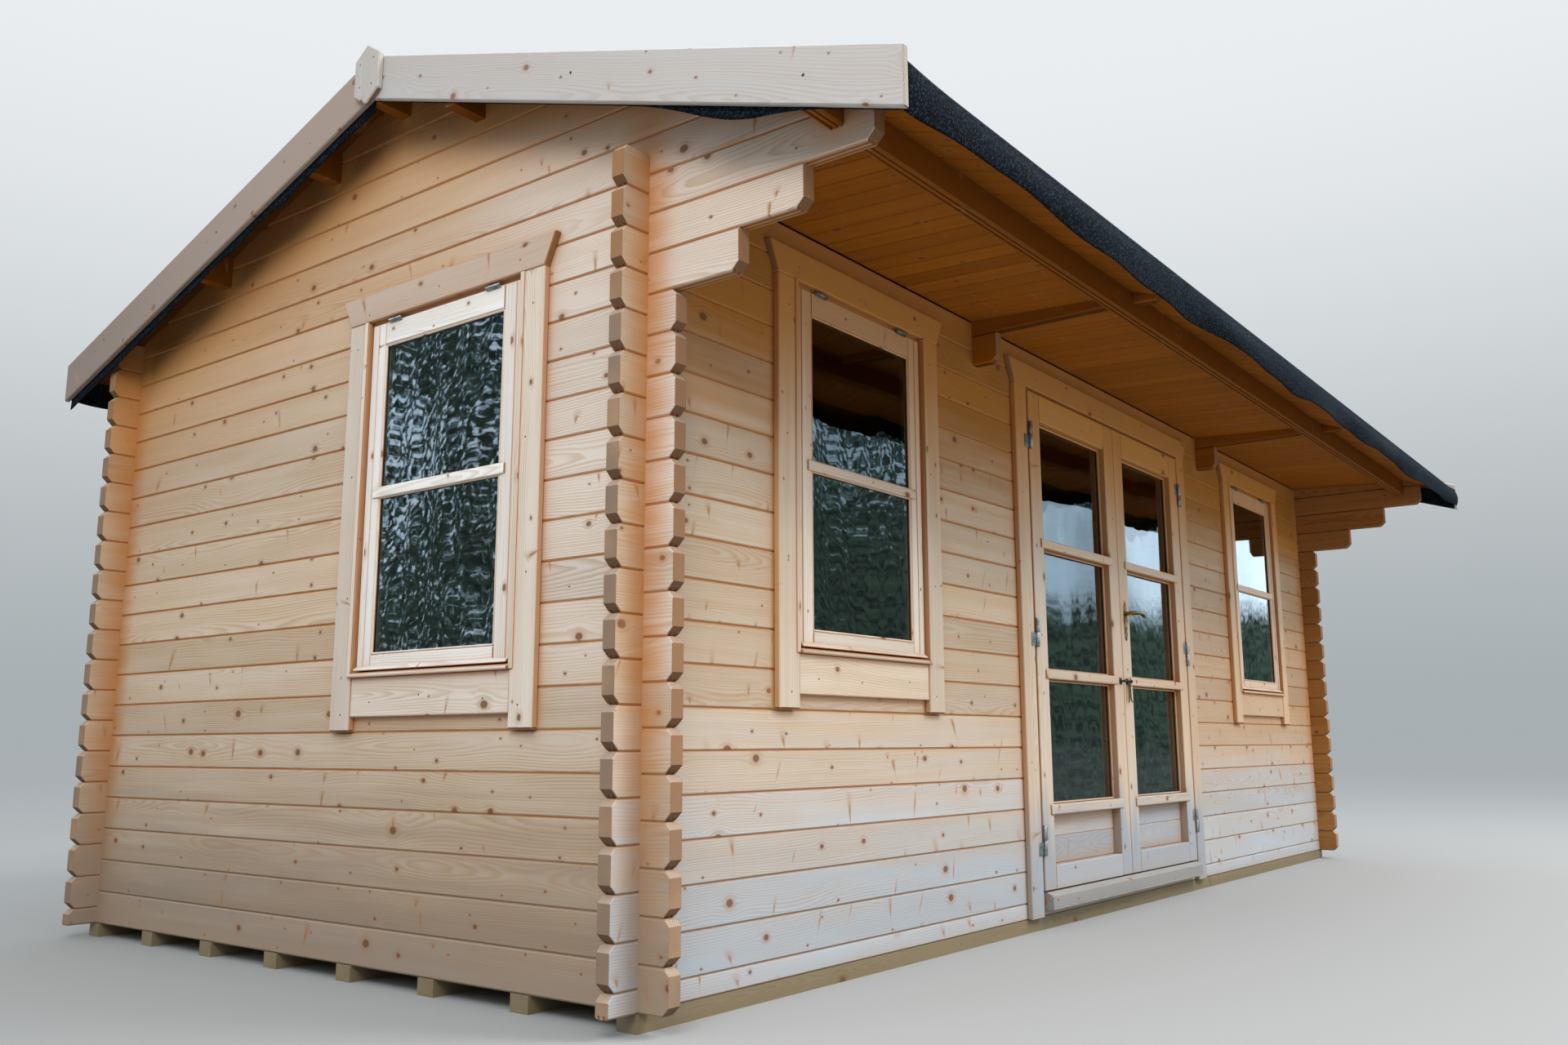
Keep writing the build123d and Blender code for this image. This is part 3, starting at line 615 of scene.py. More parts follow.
@dataclass(frozen=True)
class FeltFinish:
    """Bitumen felt faced with mineral grit."""

    name: str
    dark: Colour = (0.004, 0.0055, 0.008)
    grit: Colour = (0.032, 0.048, 0.066)

    def make(self) -> Material:
        """Build the material.

        Returns:
            The finished material.
        """
        graph = Coat(self.name)
        place = graph.place()
        grain = graph.value("ShaderNodeTexVoronoi", {"Vector": place, "Scale": 420.0}, "Distance")
        fleck = graph.noise(place, 170.0)
        base = graph.mix(fleck.band(0.5, 0.66) * 0.75, self.dark, self.grit)
        base = base.tint(self.grit, graph.noise(place, 2.2, 4.0).band(0.45, 0.75) * 0.1)
        graph.bump(grain + fleck * 0.6, 0.7, 0.0011)
        return graph.shade(Base_Color=base, Roughness=0.92, Specular_IOR_Level=0.05)


@dataclass(frozen=True)
class MetalFinish:
    """Plated or cast metal with a fine tarnish."""

    name: str
    bright: Colour
    dull: Colour
    roughness: float

    def make(self) -> Material:
        """Build the material.

        Returns:
            The finished material.
        """
        graph = Coat(self.name)
        blotch = graph.noise(graph.place(), 46.0, 4.0)
        base = graph.mix(blotch.band(0.36, 0.68), self.bright, self.dull)
        graph.bump(graph.noise(graph.place(), 620.0) * 0.3 + blotch, 0.15, 0.0003)
        return graph.shade(Base_Color=base, Roughness=blotch * 0.3 + (self.roughness - 0.12), Metallic=1.0)


@dataclass(frozen=True)
class PaneFinish:
    """Clear glass with the slight waviness and dust of a thin pane."""

    name: str
    tint: Colour = (0.36, 0.43, 0.43)
    stretch: Point = (1.0, 1.0, 0.45)
    index: float = 1.85

    def make(self) -> Material:
        """Build the material.

        Returns:
            The finished material.
        """
        graph = Coat(self.name)
        place = graph.place()
        drawn = graph.value("ShaderNodeVectorMath", {0: place, 1: self.stretch}, operation="MULTIPLY")
        swell = graph.noise(drawn, 11.0, 0.0) * 0.05 + graph.noise(drawn, 1.9, 0.0)
        graph.bump(swell, 0.5, 0.012)
        dust = graph.noise(place, 95.0, 4.0).band(0.55, 0.9) * 0.1
        return graph.shade(Base_Color=self.tint, Roughness=dust, Transmission_Weight=1.0, IOR=self.index)


def like(timber: TimberFinish, name: str, pale: Colour, deep: Colour, **changes: object) -> TimberFinish:
    """Timber like another, under its own name and colours."""
    return replace(timber, name=name, pale=pale, deep=deep, **changes)


class Palette:
    """All finishes of the cabin, each made once."""

    def __init__(self) -> None:
        """Make the materials."""
        log = TimberFinish("gable_log_timber", (0.645, 0.515, 0.40), (0.585, 0.42, 0.27))
        # The gable's grey is dark: weathering, and partly painted shade near the ground
        log = replace(log, grey=(0.285, 0.215, 0.17), stain=0.75, slashes=0.25, seep=0.85, contrast=0.8)
        golden = dict(joint=(0.10, 0.035, 0.008), ring=(0.24, 0.09, 0.02), grey_share=0.0)
        self.make_logs(log, golden)
        trim = like(log, "joinery_timber", (0.76, 0.67, 0.58), (0.69, 0.57, 0.46), grey=(0.50, 0.505, 0.515))
        trim = replace(trim, grey_top=0.75, stain=0.0, knots=0.55, slashes=0.2, seep=0.95, contrast=0.65)
        self.make_joinery(trim)
        self.make_porch(trim)
        self.make_verges(trim)
        self.make_roof(golden)
        self.make_ground(trim)
        self.felt = FeltFinish("mineral_felt").make()
        self.zinc = MetalFinish("zinc_plate", (0.52, 0.53, 0.53), (0.26, 0.26, 0.25), 0.45).make()
        self.iron = MetalFinish("worn_iron", (0.14, 0.12, 0.10), (0.06, 0.048, 0.038), 0.55).make()
        self.brass = MetalFinish("cast_brass", (0.40, 0.245, 0.06), (0.11, 0.062, 0.018), 0.3).make()
        self.pane = PaneFinish("window_pane").make()

    def make_logs(self, log: TimberFinish, golden: dict) -> None:
        """Timber of the walls.

        Args:
            log: Timber of a log in the open.
            golden: What differs in timber that never gets wet.
        """
        # The gable gets painted shade under its verges and a painted highlight on its front half
        self.wall = replace(log, verge_shade_share=0.92, gable_highlight=0.6).make()
        inside = TimberFinish("sheltered_log_timber", (0.41, 0.19, 0.055), (0.32, 0.125, 0.03), **golden)
        self.inside = inside.make()
        front = like(log, "front_log_timber", (0.61, 0.485, 0.365), (0.555, 0.395, 0.25), slashes=0.7)
        front = replace(front, grey=(0.435, 0.485, 0.535), grey_share=0.98, grey_top=0.9, contrast=0.68)
        # The front wall's top goes dark orange: partly painted shade under the eave
        front = replace(front, fresh=(0.42, 0.165, 0.02), fresh_share=1.0, fresh_from=1.4, gold_shade_full=1.98)
        self.front_wall = front.make()
        self.log_end = EndGrainFinish("log_end_grain").make()

    def make_joinery(self, trim: TimberFinish) -> None:
        """Timber of the gable's window.

        Args:
            trim: Timber of a planed board in the open.
        """
        self.joinery = trim.make()
        sash = like(trim, "sash_timber", (0.86, 0.845, 0.82), (0.79, 0.73, 0.65), seep=0.85)
        self.sash = sash.make()
        head = like(trim, "head_board_timber", (0.57, 0.44, 0.355), (0.50, 0.37, 0.285), knots=0.6)
        self.head = head.make()
        end = EndGrainFinish("head_end_grain", pale=(0.50, 0.22, 0.075), grey=(0.42, 0.18, 0.06), warmth=0.0)
        self.head_end = end.make()
        end = EndGrainFinish("board_end_grain", pale=(0.46, 0.28, 0.15), grey=(0.34, 0.22, 0.14), bloom=0.5)
        self.end = end.make()

    def make_porch(self, trim: TimberFinish) -> None:
        """Timber of the doors and of the windows under the porch.

        Args:
            trim: Timber of a planed board in the open.
        """
        porch = like(trim, "porch_joinery_timber", (0.68, 0.575, 0.465), (0.61, 0.47, 0.335))
        porch = replace(porch, grey=(0.35, 0.385, 0.43), grey_low=0.28, grey_top=0.6, grey_share=1.0)
        # The porch joinery goes dark orange high up: partly painted shade under the porch roof
        porch = replace(porch, fresh=(0.58, 0.25, 0.045), fresh_share=0.95, fresh_from=1.25, gold_shade_full=2.1)
        self.front_joinery = porch.make()
        # Head boards under the porch: darker and more orange, partly painted porch shade
        head = like(porch, "porch_head_timber", (0.52, 0.34, 0.19), (0.44, 0.265, 0.13), fresh_from=1.3)
        self.front_head = head.make()
        sash = like(porch, "porch_sash_timber", (0.82, 0.75, 0.66), (0.75, 0.65, 0.53), fresh_share=0.75)
        self.front_sash = sash.make()

    def make_verges(self, trim: TimberFinish) -> None:
        """Timber of the verge boards, greyed all over.

        Args:
            trim: Timber of a planed board in the open.
        """
        verge = like(trim, "verge_timber", (0.50, 0.46, 0.44), (0.50, 0.42, 0.36), ring=(0.40, 0.29, 0.22))
        verge = replace(verge, knot=(0.20, 0.10, 0.06), slash=(0.40, 0.25, 0.17), knots=0.95, slashes=0.3)
        verge = replace(verge, grey=(0.56, 0.545, 0.53), grey_top=12.0, grey_share=0.5, contrast=0.55)
        # The verge boards of the back slope get painted shade
        verge = replace(verge, back_verge_shade=0.9, seep=0.0, roughness=0.62)
        self.verge = verge.make()
        self.ridge = replace(verge, name="ridge_timber", back_verge_shade=0.0).make()
        end = EndGrainFinish("verge_end_grain", pale=(0.50, 0.44, 0.38), grey=(0.42, 0.39, 0.36), warmth=0.0)
        self.verge_end = replace(end, sheltered_and_shaded=(0.48, 0.43, 0.38)).make()

    def make_roof(self, golden: dict) -> None:
        """Timber under the roof and inside.

        Args:
            golden: What differs in timber that never gets wet.
        """
        end = EndGrainFinish("sheltered_end_grain", (0.36, 0.15, 0.045), (0.20, 0.075, 0.022), bloom=0.4)
        # Warmer painted shade and highlight for end grain under the roof
        end = replace(end, grey=(0.28, 0.12, 0.045), underside_shade=(0.27, 0.10, 0.028))
        self.warm_end = replace(end, top_highlight=(0.36, 0.16, 0.05), sheltered_and_shaded=(0.34, 0.14, 0.04)).make()
        inner = TimberFinish("roof_timber", (0.36, 0.118, 0.008), (0.285, 0.079, 0.004), **golden)
        inner = replace(inner, knots=0.9, gloss=0.08)
        # The roof boards get painted shadow over the gables' overhang
        self.inner = replace(inner, eave_shade=0.8).make()
        self.floor = like(inner, "floor_timber", (0.60, 0.42, 0.24), (0.52, 0.33, 0.16)).make()
        beam = like(inner, "beam_timber", (0.225, 0.068, 0.004), (0.175, 0.046, 0.003))
        self.beam = beam.make()
        self.tie = replace(inner, name="tie_timber").make()
        self.post = replace(beam, name="post_timber", pattern=Pattern.Z).make()
        self.rafter = replace(beam, name="rafter_timber", pattern=Pattern.Y).make()

    def make_ground(self, trim: TimberFinish) -> None:
        """Timber of the threshold and the bearers.

        Args:
            trim: Timber of a planed board in the open.
        """
        low = replace(trim, seep=0.0, pattern=Pattern.X)
        sill = like(low, "sill_timber", (0.33, 0.305, 0.275), (0.24, 0.212, 0.185), ring=(0.17, 0.14, 0.115))
        self.sill = replace(sill, grey=(0.315, 0.30, 0.285), grey_top=2.0).make()
        bearer = like(low, "bearer_timber", (0.33, 0.245, 0.14), (0.24, 0.17, 0.09), ring=(0.14, 0.105, 0.06))
        self.bearer = replace(bearer, slash=(0.14, 0.085, 0.04), grey=(0.25, 0.19, 0.11), knots=0.2).make()


# Building boards
def box_mesh(low: Sequence[float], high: Sequence[float]) -> Mesh:
    """Start a block between two corners.

    Args:
        low: Lowest corner.
        high: Highest corner.

    Returns:
        The block.
    """
    block = bmesh.new()
    size = [b - a for a, b in zip(low, high)]
    middle = [(a + b) / 2 for a, b in zip(low, high)]
    matrix = Matrix.Translation(middle) @ Matrix.Diagonal((*size, 1.0))
    bmesh.ops.create_cube(block, size=1.0, matrix=matrix)
    return block


def slice_off(block: Mesh, point: Sequence[float], outward: Sequence[float]) -> None:
    """Cut a closed block with a plane and close the cut.

    Args:
        block: Closed mesh.
        point: Point on the plane.
        outward: Direction of what is taken away.
    """
    geometry = block.verts[:] + block.edges[:] + block.faces[:]
    plane = dict(plane_co=point, plane_no=Vector(outward).normalized(), clear_outer=True)
    cut = bmesh.ops.bisect_plane(block, geom=geometry, dist=1e-6, **plane)
    rim = [item for item in cut["geom_cut"] if isinstance(item, bmesh.types.BMEdge) and item.is_boundary]
    if rim:
        bmesh.ops.contextual_create(block, geom=rim)


def ease(block: Mesh, width: float, segments: int = 1, edges: Optional[list] = None) -> None:
    """Take off the arrises of a block.

    Args:
        block: Mesh to work on.
        width: Width of the chamfer or round.
        segments: 1 for a chamfer, more for a round.
        edges: Edges to ease, or all sharp ones.
    """
    if edges is None:
        edges = [e for e in block.edges if e.is_manifold and e.calc_face_angle() > 0.5]
    options = dict(segments=segments, profile=0.5, affect="EDGES", material=-1, clamp_overlap=True)
    bmesh.ops.bevel(block, geom=edges, offset=width, **options)


def join(mesh: Mesh, single: Mesh) -> None:
    """Move one mesh into another.

    Args:
        mesh: Mesh that grows.
        single: Mesh that is used up.
    """
    passing = bpy.data.meshes.new("passing")
    single.to_mesh(passing)
    single.free()
    mesh.from_mesh(passing)
    bpy.data.meshes.remove(passing)


def push_out(mesh: Mesh, way: Sequence[float]) -> None:
    """Give the flat faces of a mesh a thickness, and turn all faces outwards.

    Args:
        mesh: Mesh to thicken.
        way: Direction and thickness.
    """
    grown = bmesh.ops.extrude_face_region(mesh, geom=mesh.faces[:])
    moved = [v for v in grown["geom"] if isinstance(v, bmesh.types.BMVert)]
    bmesh.ops.translate(mesh, verts=moved, vec=way)
    bmesh.ops.recalc_face_normals(mesh, faces=mesh.faces[:])


def settle(
    mesh: Mesh,
    name: str,
    nodes: Sequence[str],
    finishes: Sequence[Material],
    body: str = "cabin",
    smooth: bool = True,
) -> bpy.types.Object:
    """Make an object of a mesh and let it ride.

    Args:
        mesh: Finished mesh; it is used up.
        name: Name of the piece.
        nodes: Solids that it stands for.
        finishes: Materials of the piece.
        body: Body that carries it.
        smooth: Whether its faces are shaded round.

    Returns:
        The object.
    """
    data = bpy.data.meshes.new(name)
    mesh.to_mesh(data)
    mesh.free()
    for finish in finishes:
        data.materials.append(finish)
    if smooth:
        data.polygons.foreach_set("use_smooth", [True] * len(data.polygons))
        data.set_sharp_from_angle(angle=math.radians(38))
    piece = bpy.data.objects.new(name, data)
    bpy.context.scene.collection.objects.link(piece)
    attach(piece, body)
    if nodes:
        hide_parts(*nodes)
    LOG.info("%s: %d faces on %s", name, len(data.polygons), body)
    return piece


def dress(node: str, finish: Material) -> None:
    """Give a solid that stays its finish.

    Args:
        node: Name of the solid.
        finish: Material for it.
    """
    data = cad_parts[node].data
    data.materials.clear()
    data.materials.append(finish)
    LOG.info("%s: dressed with %s", node, finish.name)


@dataclass
class Stack:
    """Boards that make up one piece of the cabin and share a mesh."""

    name: str
    seed: int
    mesh: Mesh = field(default_factory=bmesh.new)

    def __post_init__(self) -> None:
        """Give the mesh its layers and the boards their dice."""
        self.dice = random.Random(self.seed)
        self.mesh.loops.layers.uv.new("grain")
        self.mesh.verts.layers.float.new("tone")
        self.mesh.verts.layers.float.new("crease")

    def draw(self) -> tuple:
        """Offsets along and across the grain and the tone of a new board."""
        return self.dice.uniform(-40.0, 40.0), self.dice.uniform(-40.0, 40.0), self.dice.random()

    def lay(
        self,
        block: Mesh,
        grain: Vector,
        draw: Optional[tuple] = None,
        seam: Optional[Vector] = None,
        indoors: Optional[Vector] = None,
    ) -> None:
        """Put one board into the piece, with its grain laid along it.

        Args:
            block: The board; it is used up.
            grain: Way the grain runs.
            draw: Offsets and tone of a board that this one continues.
            seam: Way in which its neighbours join it.
            indoors: Way that its sheltered faces look.
        """
        along, across, tone = draw or self.draw()
        grain = grain.normalized()
        side = Vector((0.0, 0.0, 1.0)) if abs(grain.z) < 0.8 else Vector((0.0, 1.0, 0.0))
        first = grain.cross(side).normalized()
        second = first.cross(grain).normalized()
        layer = block.loops.layers.uv.new("grain")
        shade = block.verts.layers.float.new("tone")
        dark = block.verts.layers.float.new("crease")
        middle = sum((v.co for v in block.verts), Vector()) / max(1, len(block.verts))
        pith = (middle.dot(first) + 0.03 + 0.05 * tone, middle.dot(second) + 0.07 * (tone - 0.5))
        block.normal_update()
        marks = [vert.co.dot(seam) for vert in block.verts] if seam is not None else [0.0] * len(block.verts)
        low, high = min(marks, default=0.0) + HAIR, max(marks, default=0.0) - HAIR
        for vert, mark in zip(block.verts, marks):
            vert[shade] = tone
            joined = not low < mark < high or abs(mark - low - PLAN.tongue) <= 3 * HAIR
            vert[dark] = float(seam is not None and joined)
        for face in block.faces:
            end = abs(face.normal.dot(grain)) > 0.6
            inward = indoors is not None and face.normal.dot(indoors) > 0.6
            face.material_index = 1 if end else 2 if inward else 0
            for loop in face.loops:
                place = loop.vert.co
                u, v = place.dot(first), place.dot(second)
                laid = (place.dot(grain) + along, u + v + across)
                loop[layer].uv = (u - pith[0], v - pith[1]) if end else laid
        join(self.mesh, block)

    def board(
        self,
        low: Sequence[float],
        high: Sequence[float],
        grain: Grain,
        arris: float = FINE,
        cuts: Iterable[tuple] = (),
        turn: Optional[Matrix] = None,
        seam: Optional[Grain] = None,
    ) -> None:
        """Add a plain board.

        Args:
            low: Lowest corner.
            high: Highest corner.
            grain: Way the grain runs.
            arris: Width of the eased edges.
            cuts: Planes as (point, outward) that trim it.
            turn: Matrix that puts the board in place.
            seam: Way in which its neighbours join it.
        """
        block = box_mesh(low, high)
        for point, outward in cuts:
            slice_off(block, point, outward)
        ease(block, arris)
        turn = turn or Matrix.Identity(4)
        block.transform(turn)
        lean = turn.to_3x3()
        self.lay(block, lean @ grain.vector, None, lean @ seam.vector if seam else None)

    def place(
        self, nodes: Sequence[str], slot: str, finishes: Sequence[Material], body: str = "cabin"
    ) -> None:
        """Turn the stack into an object that rides on a body.

        Args:
            nodes: Solids that it stands for.
            slot: The record's material slot; not used.
            finishes: Side grain, end grain and any others.
            body: Body that carries it.
        """
        settle(self.mesh, self.name, nodes, finishes, body, False)


# Log walls
@dataclass(frozen=True)
class Hole:
    """Opening in a wall, along the wall and in height."""

    start: float
    end: float
    low: float
    high: float


def spans(start: float, end: float, low: float, high: float, holes: Sequence[Hole]) -> Iterator[tuple]:
    """Split a course of logs round the openings that it meets.

    Args:
        start: Start of the course.
        end: End of the course.
        low: Its foot.
        high: Its top.
        holes: Openings in the wall.

    Yields:
        Start, end, foot and top of each length.
    """
    level = [h for h in holes if h.low < high - HAIR and h.high > low + HAIR]
    met = [h for h in level if h.start < end and h.end > start]
    marks = sorted({start, end, *(h.start for h in met), *(h.end for h in met)})
    for first, last in zip(marks, marks[1:]):
        over = [h for h in met if h.start < (first + last) / 2 < h.end]
        if not over:
            yield first, last, low, high
            continue
        if over[0].low > low + SLIVER:
            yield first, last, low, over[0].low
        if over[0].high < high - SLIVER:
            yield first, last, over[0].high, high


def shape_log(start: float, end: float, low: float, high: float, ends: tuple = (None, None)) -> Mesh:
    """One log along local X, with its V edges and the two grooves in its underside.

    Args:
        start: Its start.
        end: Its end.
        low: Its foot.
        high: Its top.
        ends: For each end, its (low chamfer, high chamfer), or None for a plain end.

    Returns:
        The log.
    """
    half, cut = PLAN.log / 2, PLAN.groove
    deep = low + PLAN.tongue
    ring = [(-half, low + cut), (-half + cut, low)]
    for side in BOTH:
        middle = side * PLAN.slot_centre
        near, far = middle - PLAN.slot_half, middle + PLAN.slot_half
        ring += [(near, low), (near, deep), (far, deep), (far, low)]
    ring += [(half - cut, low), (half, low + cut), (half, high - cut), (half - cut, high)]
    ring += [(-half + cut, high), (-half, high - cut)]
    block = bmesh.new()
    block.faces.new([block.verts.new((start, y, z)) for y, z in ring])
    push_out(block, (end - start, 0.0, 0.0))
    for place, way, shape in ((start, -1.0, ends[0]), (end, 1.0, ends[1])):
        for depth, level, up in zip(shape or (), (low, high), BOTH):
            if depth:
                slice_off(block, (place - way * depth, 0.0, level), (way, 0.0, up))
    chosen = []
    nose = 0.025
    slots = PLAN.slot_centre + PLAN.slot_half + 0.002
    for edge in block.edges:
        middle = (edge.verts[0].co + edge.verts[1].co) / 2
        near = (ends[0] and middle.x < start + nose) or (ends[1] and middle.x > end - nose)
        if near and edge.is_manifold and edge.calc_face_angle() > 0.6 and abs(middle.y) > slots:
            if any(abs(face.normal.x) > 0.5 for face in edge.link_faces):
                chosen.append(edge)
    if chosen:
        ease(block, 0.0016, 1, chosen)
    return block


def plane_to_roof(block: Mesh) -> None:
    """Cut a block off under both slopes of the roof."""
    for way in BOTH:
        slice_off(block, (0.0, 0.0, PLAN.ridge), (0.0, way * PLAN.slope, 1.0))


@dataclass
class LogWall:
    """Wall of logs that run on past the corners."""

    name: str
    nodes: tuple
    along: Grain
    centre: float
    start: float
    end: float
    top: float
    finishes: tuple
    seed: int
    holes: tuple = ()
    reaches: dict = field(default_factory=dict)
    half_foot: bool = False
    indoors: Optional[Vector] = None

    def courses(self) -> Iterator[tuple]:
        """Count the courses up the wall.

        Yields:
            Number, foot and top of each.
        """
        number, low = 0, PLAN.base
        high = low + PLAN.course * (0.5 if self.half_foot else 1.0)
        while low < self.top - SLIVER:
            yield number, low, high
            number, low, high = number + 1, high, high + PLAN.course

    def build(self) -> None:
        """Stack the logs."""
        stack = Stack(self.name, self.seed)
        turn = Matrix.Translation((0.0, self.centre, 0.0))
        if self.along is Grain.Y:
            turn = Matrix.Translation((self.centre, 0.0, 0.0)) @ Matrix.Rotation(math.pi / 2, 4, "Z")
        for number, low, high in self.courses():
            start, lower, upper = self.reaches.get(number, (self.start, PLAN.chamfer_low, PLAN.chamfer_high))
            far_low = 0.0 if number == 0 and self.half_foot else PLAN.chamfer_low
            shape = (far_low if self.half_foot else lower, upper)
            side = None
            for first, last, foot, head in spans(start, self.end, low, high, self.holes):
                draw = stack.draw() if side is None or first > side[1] else side[0]
                side = (draw, last)
                near_end = shape if first == start else None
                far_end = (far_low, PLAN.chamfer_high) if last == self.end else None
                block = shape_log(first, last, foot, head, (near_end, far_end))
                block.transform(turn)
                if head > PLAN.underside(PLAN.back):
                    plane_to_roof(block)
                if block.verts:
                    stack.lay(block, self.along.vector, draw, Grain.Z.vector, self.indoors)
        stack.place(self.nodes, "spruce", self.finishes)


def window_hole(centre: float, foot: float) -> Hole:
    """Opening for a window's frame.

    Args:
        centre: Middle of the window along the wall.
        foot: Bottom of its sash.

    Returns:
        The opening.
    """
    over = Window.gap + Window.jamb
    half = Window.width / 2 + over
    return Hole(centre - half, centre + half, foot - over, foot + Window.height + over)


@dataclass
class Walls:
    """The four log walls."""

    palette: Palette
    window_centres: tuple = (-1.9845, 1.9845)
    front_sill: float = 0.975
    gable_sill: float = 0.918
    gable_centre: float = -0.25
    first_bracket: int = 16
    last_course: int = 26
    brackets: tuple = (0.311, 0.516, 0.726)
    bracket_chamfer: float = 0.026

    def build(self) -> None:
        """Build all walls."""
        finishes = (self.palette.wall, self.palette.log_end)
        holes = [window_hole(x, self.front_sill) for x in self.window_centres]
        door, sill_log = Doorway.half + Doorway.jamb, PLAN.base + PLAN.course / 2
        holes.append(Hole(-door, door, sill_log, Doorway.head + Doorway.jamb))
        front_nodes = ("front_sill_log", "front_wall_left", "front_wall_right", "front_top_logs")
        end, middle = PLAN.half_length + PLAN.log_end, PLAN.log / 2
        plain = dict(along=Grain.X, start=-end, end=end, half_foot=True)
        sheltered_and_shaded = dict(top=PLAN.wall_top, finishes=(self.palette.front_wall, self.palette.log_end), **plain)
        place = dict(centre=PLAN.front + middle, seed=11, holes=tuple(holes))
        LogWall("front_logs", front_nodes, **place, **sheltered_and_shaded).build()
        plain.update(top=PLAN.underside(PLAN.back - PLAN.log), finishes=finishes)
        LogWall("back_logs", ("back_wall",), centre=PLAN.back - middle, seed=23, **plain).build()
        reaches = {}
        for number in range(self.first_bracket, self.last_course):
            step = number - self.first_bracket
            reach = self.brackets[min(step, len(self.brackets) - 1)]
            lower = self.bracket_chamfer if step < len(self.brackets) else 0.0
            reaches[number] = (PLAN.front - reach, lower, 0.0)
        shared = dict(start=PLAN.front - PLAN.log_end, end=PLAN.back + PLAN.log_end, top=PLAN.ridge)
        shared.update(along=Grain.Y, finishes=(*finishes, self.palette.inside), reaches=reaches)
        window = (window_hole(self.gable_centre, self.gable_sill),)
        for name, way, seed, openings in (("left", -1.0, 37, window), ("right", 1.0, 51, ())):
            place = dict(centre=way * (PLAN.half_length - middle), indoors=Vector((-way, 0.0, 0.0)))
            nodes = (f"gable_wall_{name}",)
            LogWall(f"{name}_gable_logs", nodes, seed=seed, holes=openings, **place, **shared).build()


# Roof and floor
def slope_turn(side: Side) -> Matrix:
    """Matrix that lays a flat board on a slope: local X down the slope, local Z out of it, from the ridge.

    Args:
        side: Front or back slope.

    Returns:
        The matrix.
    """
    down = Vector((0.0, side.value * math.cos(PLAN.pitch), -math.sin(PLAN.pitch)))
    out = Vector((0.0, side.value * math.sin(PLAN.pitch), math.cos(PLAN.pitch)))
    turn = Matrix((down, out.cross(down), out)).transposed().to_4x4()
    turn.translation = (0.0, 0.0, PLAN.ridge)
    return turn


def upright_cuts(side: Side, near: float, far: float) -> list:
    """Planes that end a slope's board upright, in the slope's own frame.

    Args:
        side: Front or back slope.
        near: Distance from the ridge at which the board starts.
        far: Distance at which it ends.

    Returns:
        The planes as (point, outward).
    """
    back = slope_turn(side).inverted()
    ends = ((side.value * near, -side.value), (side.value * far, side.value))
    return [(back @ Vector((0.0, y, PLAN.ridge)), back.to_3x3() @ Vector((0.0, way, 0.0))) for y, way in ends]


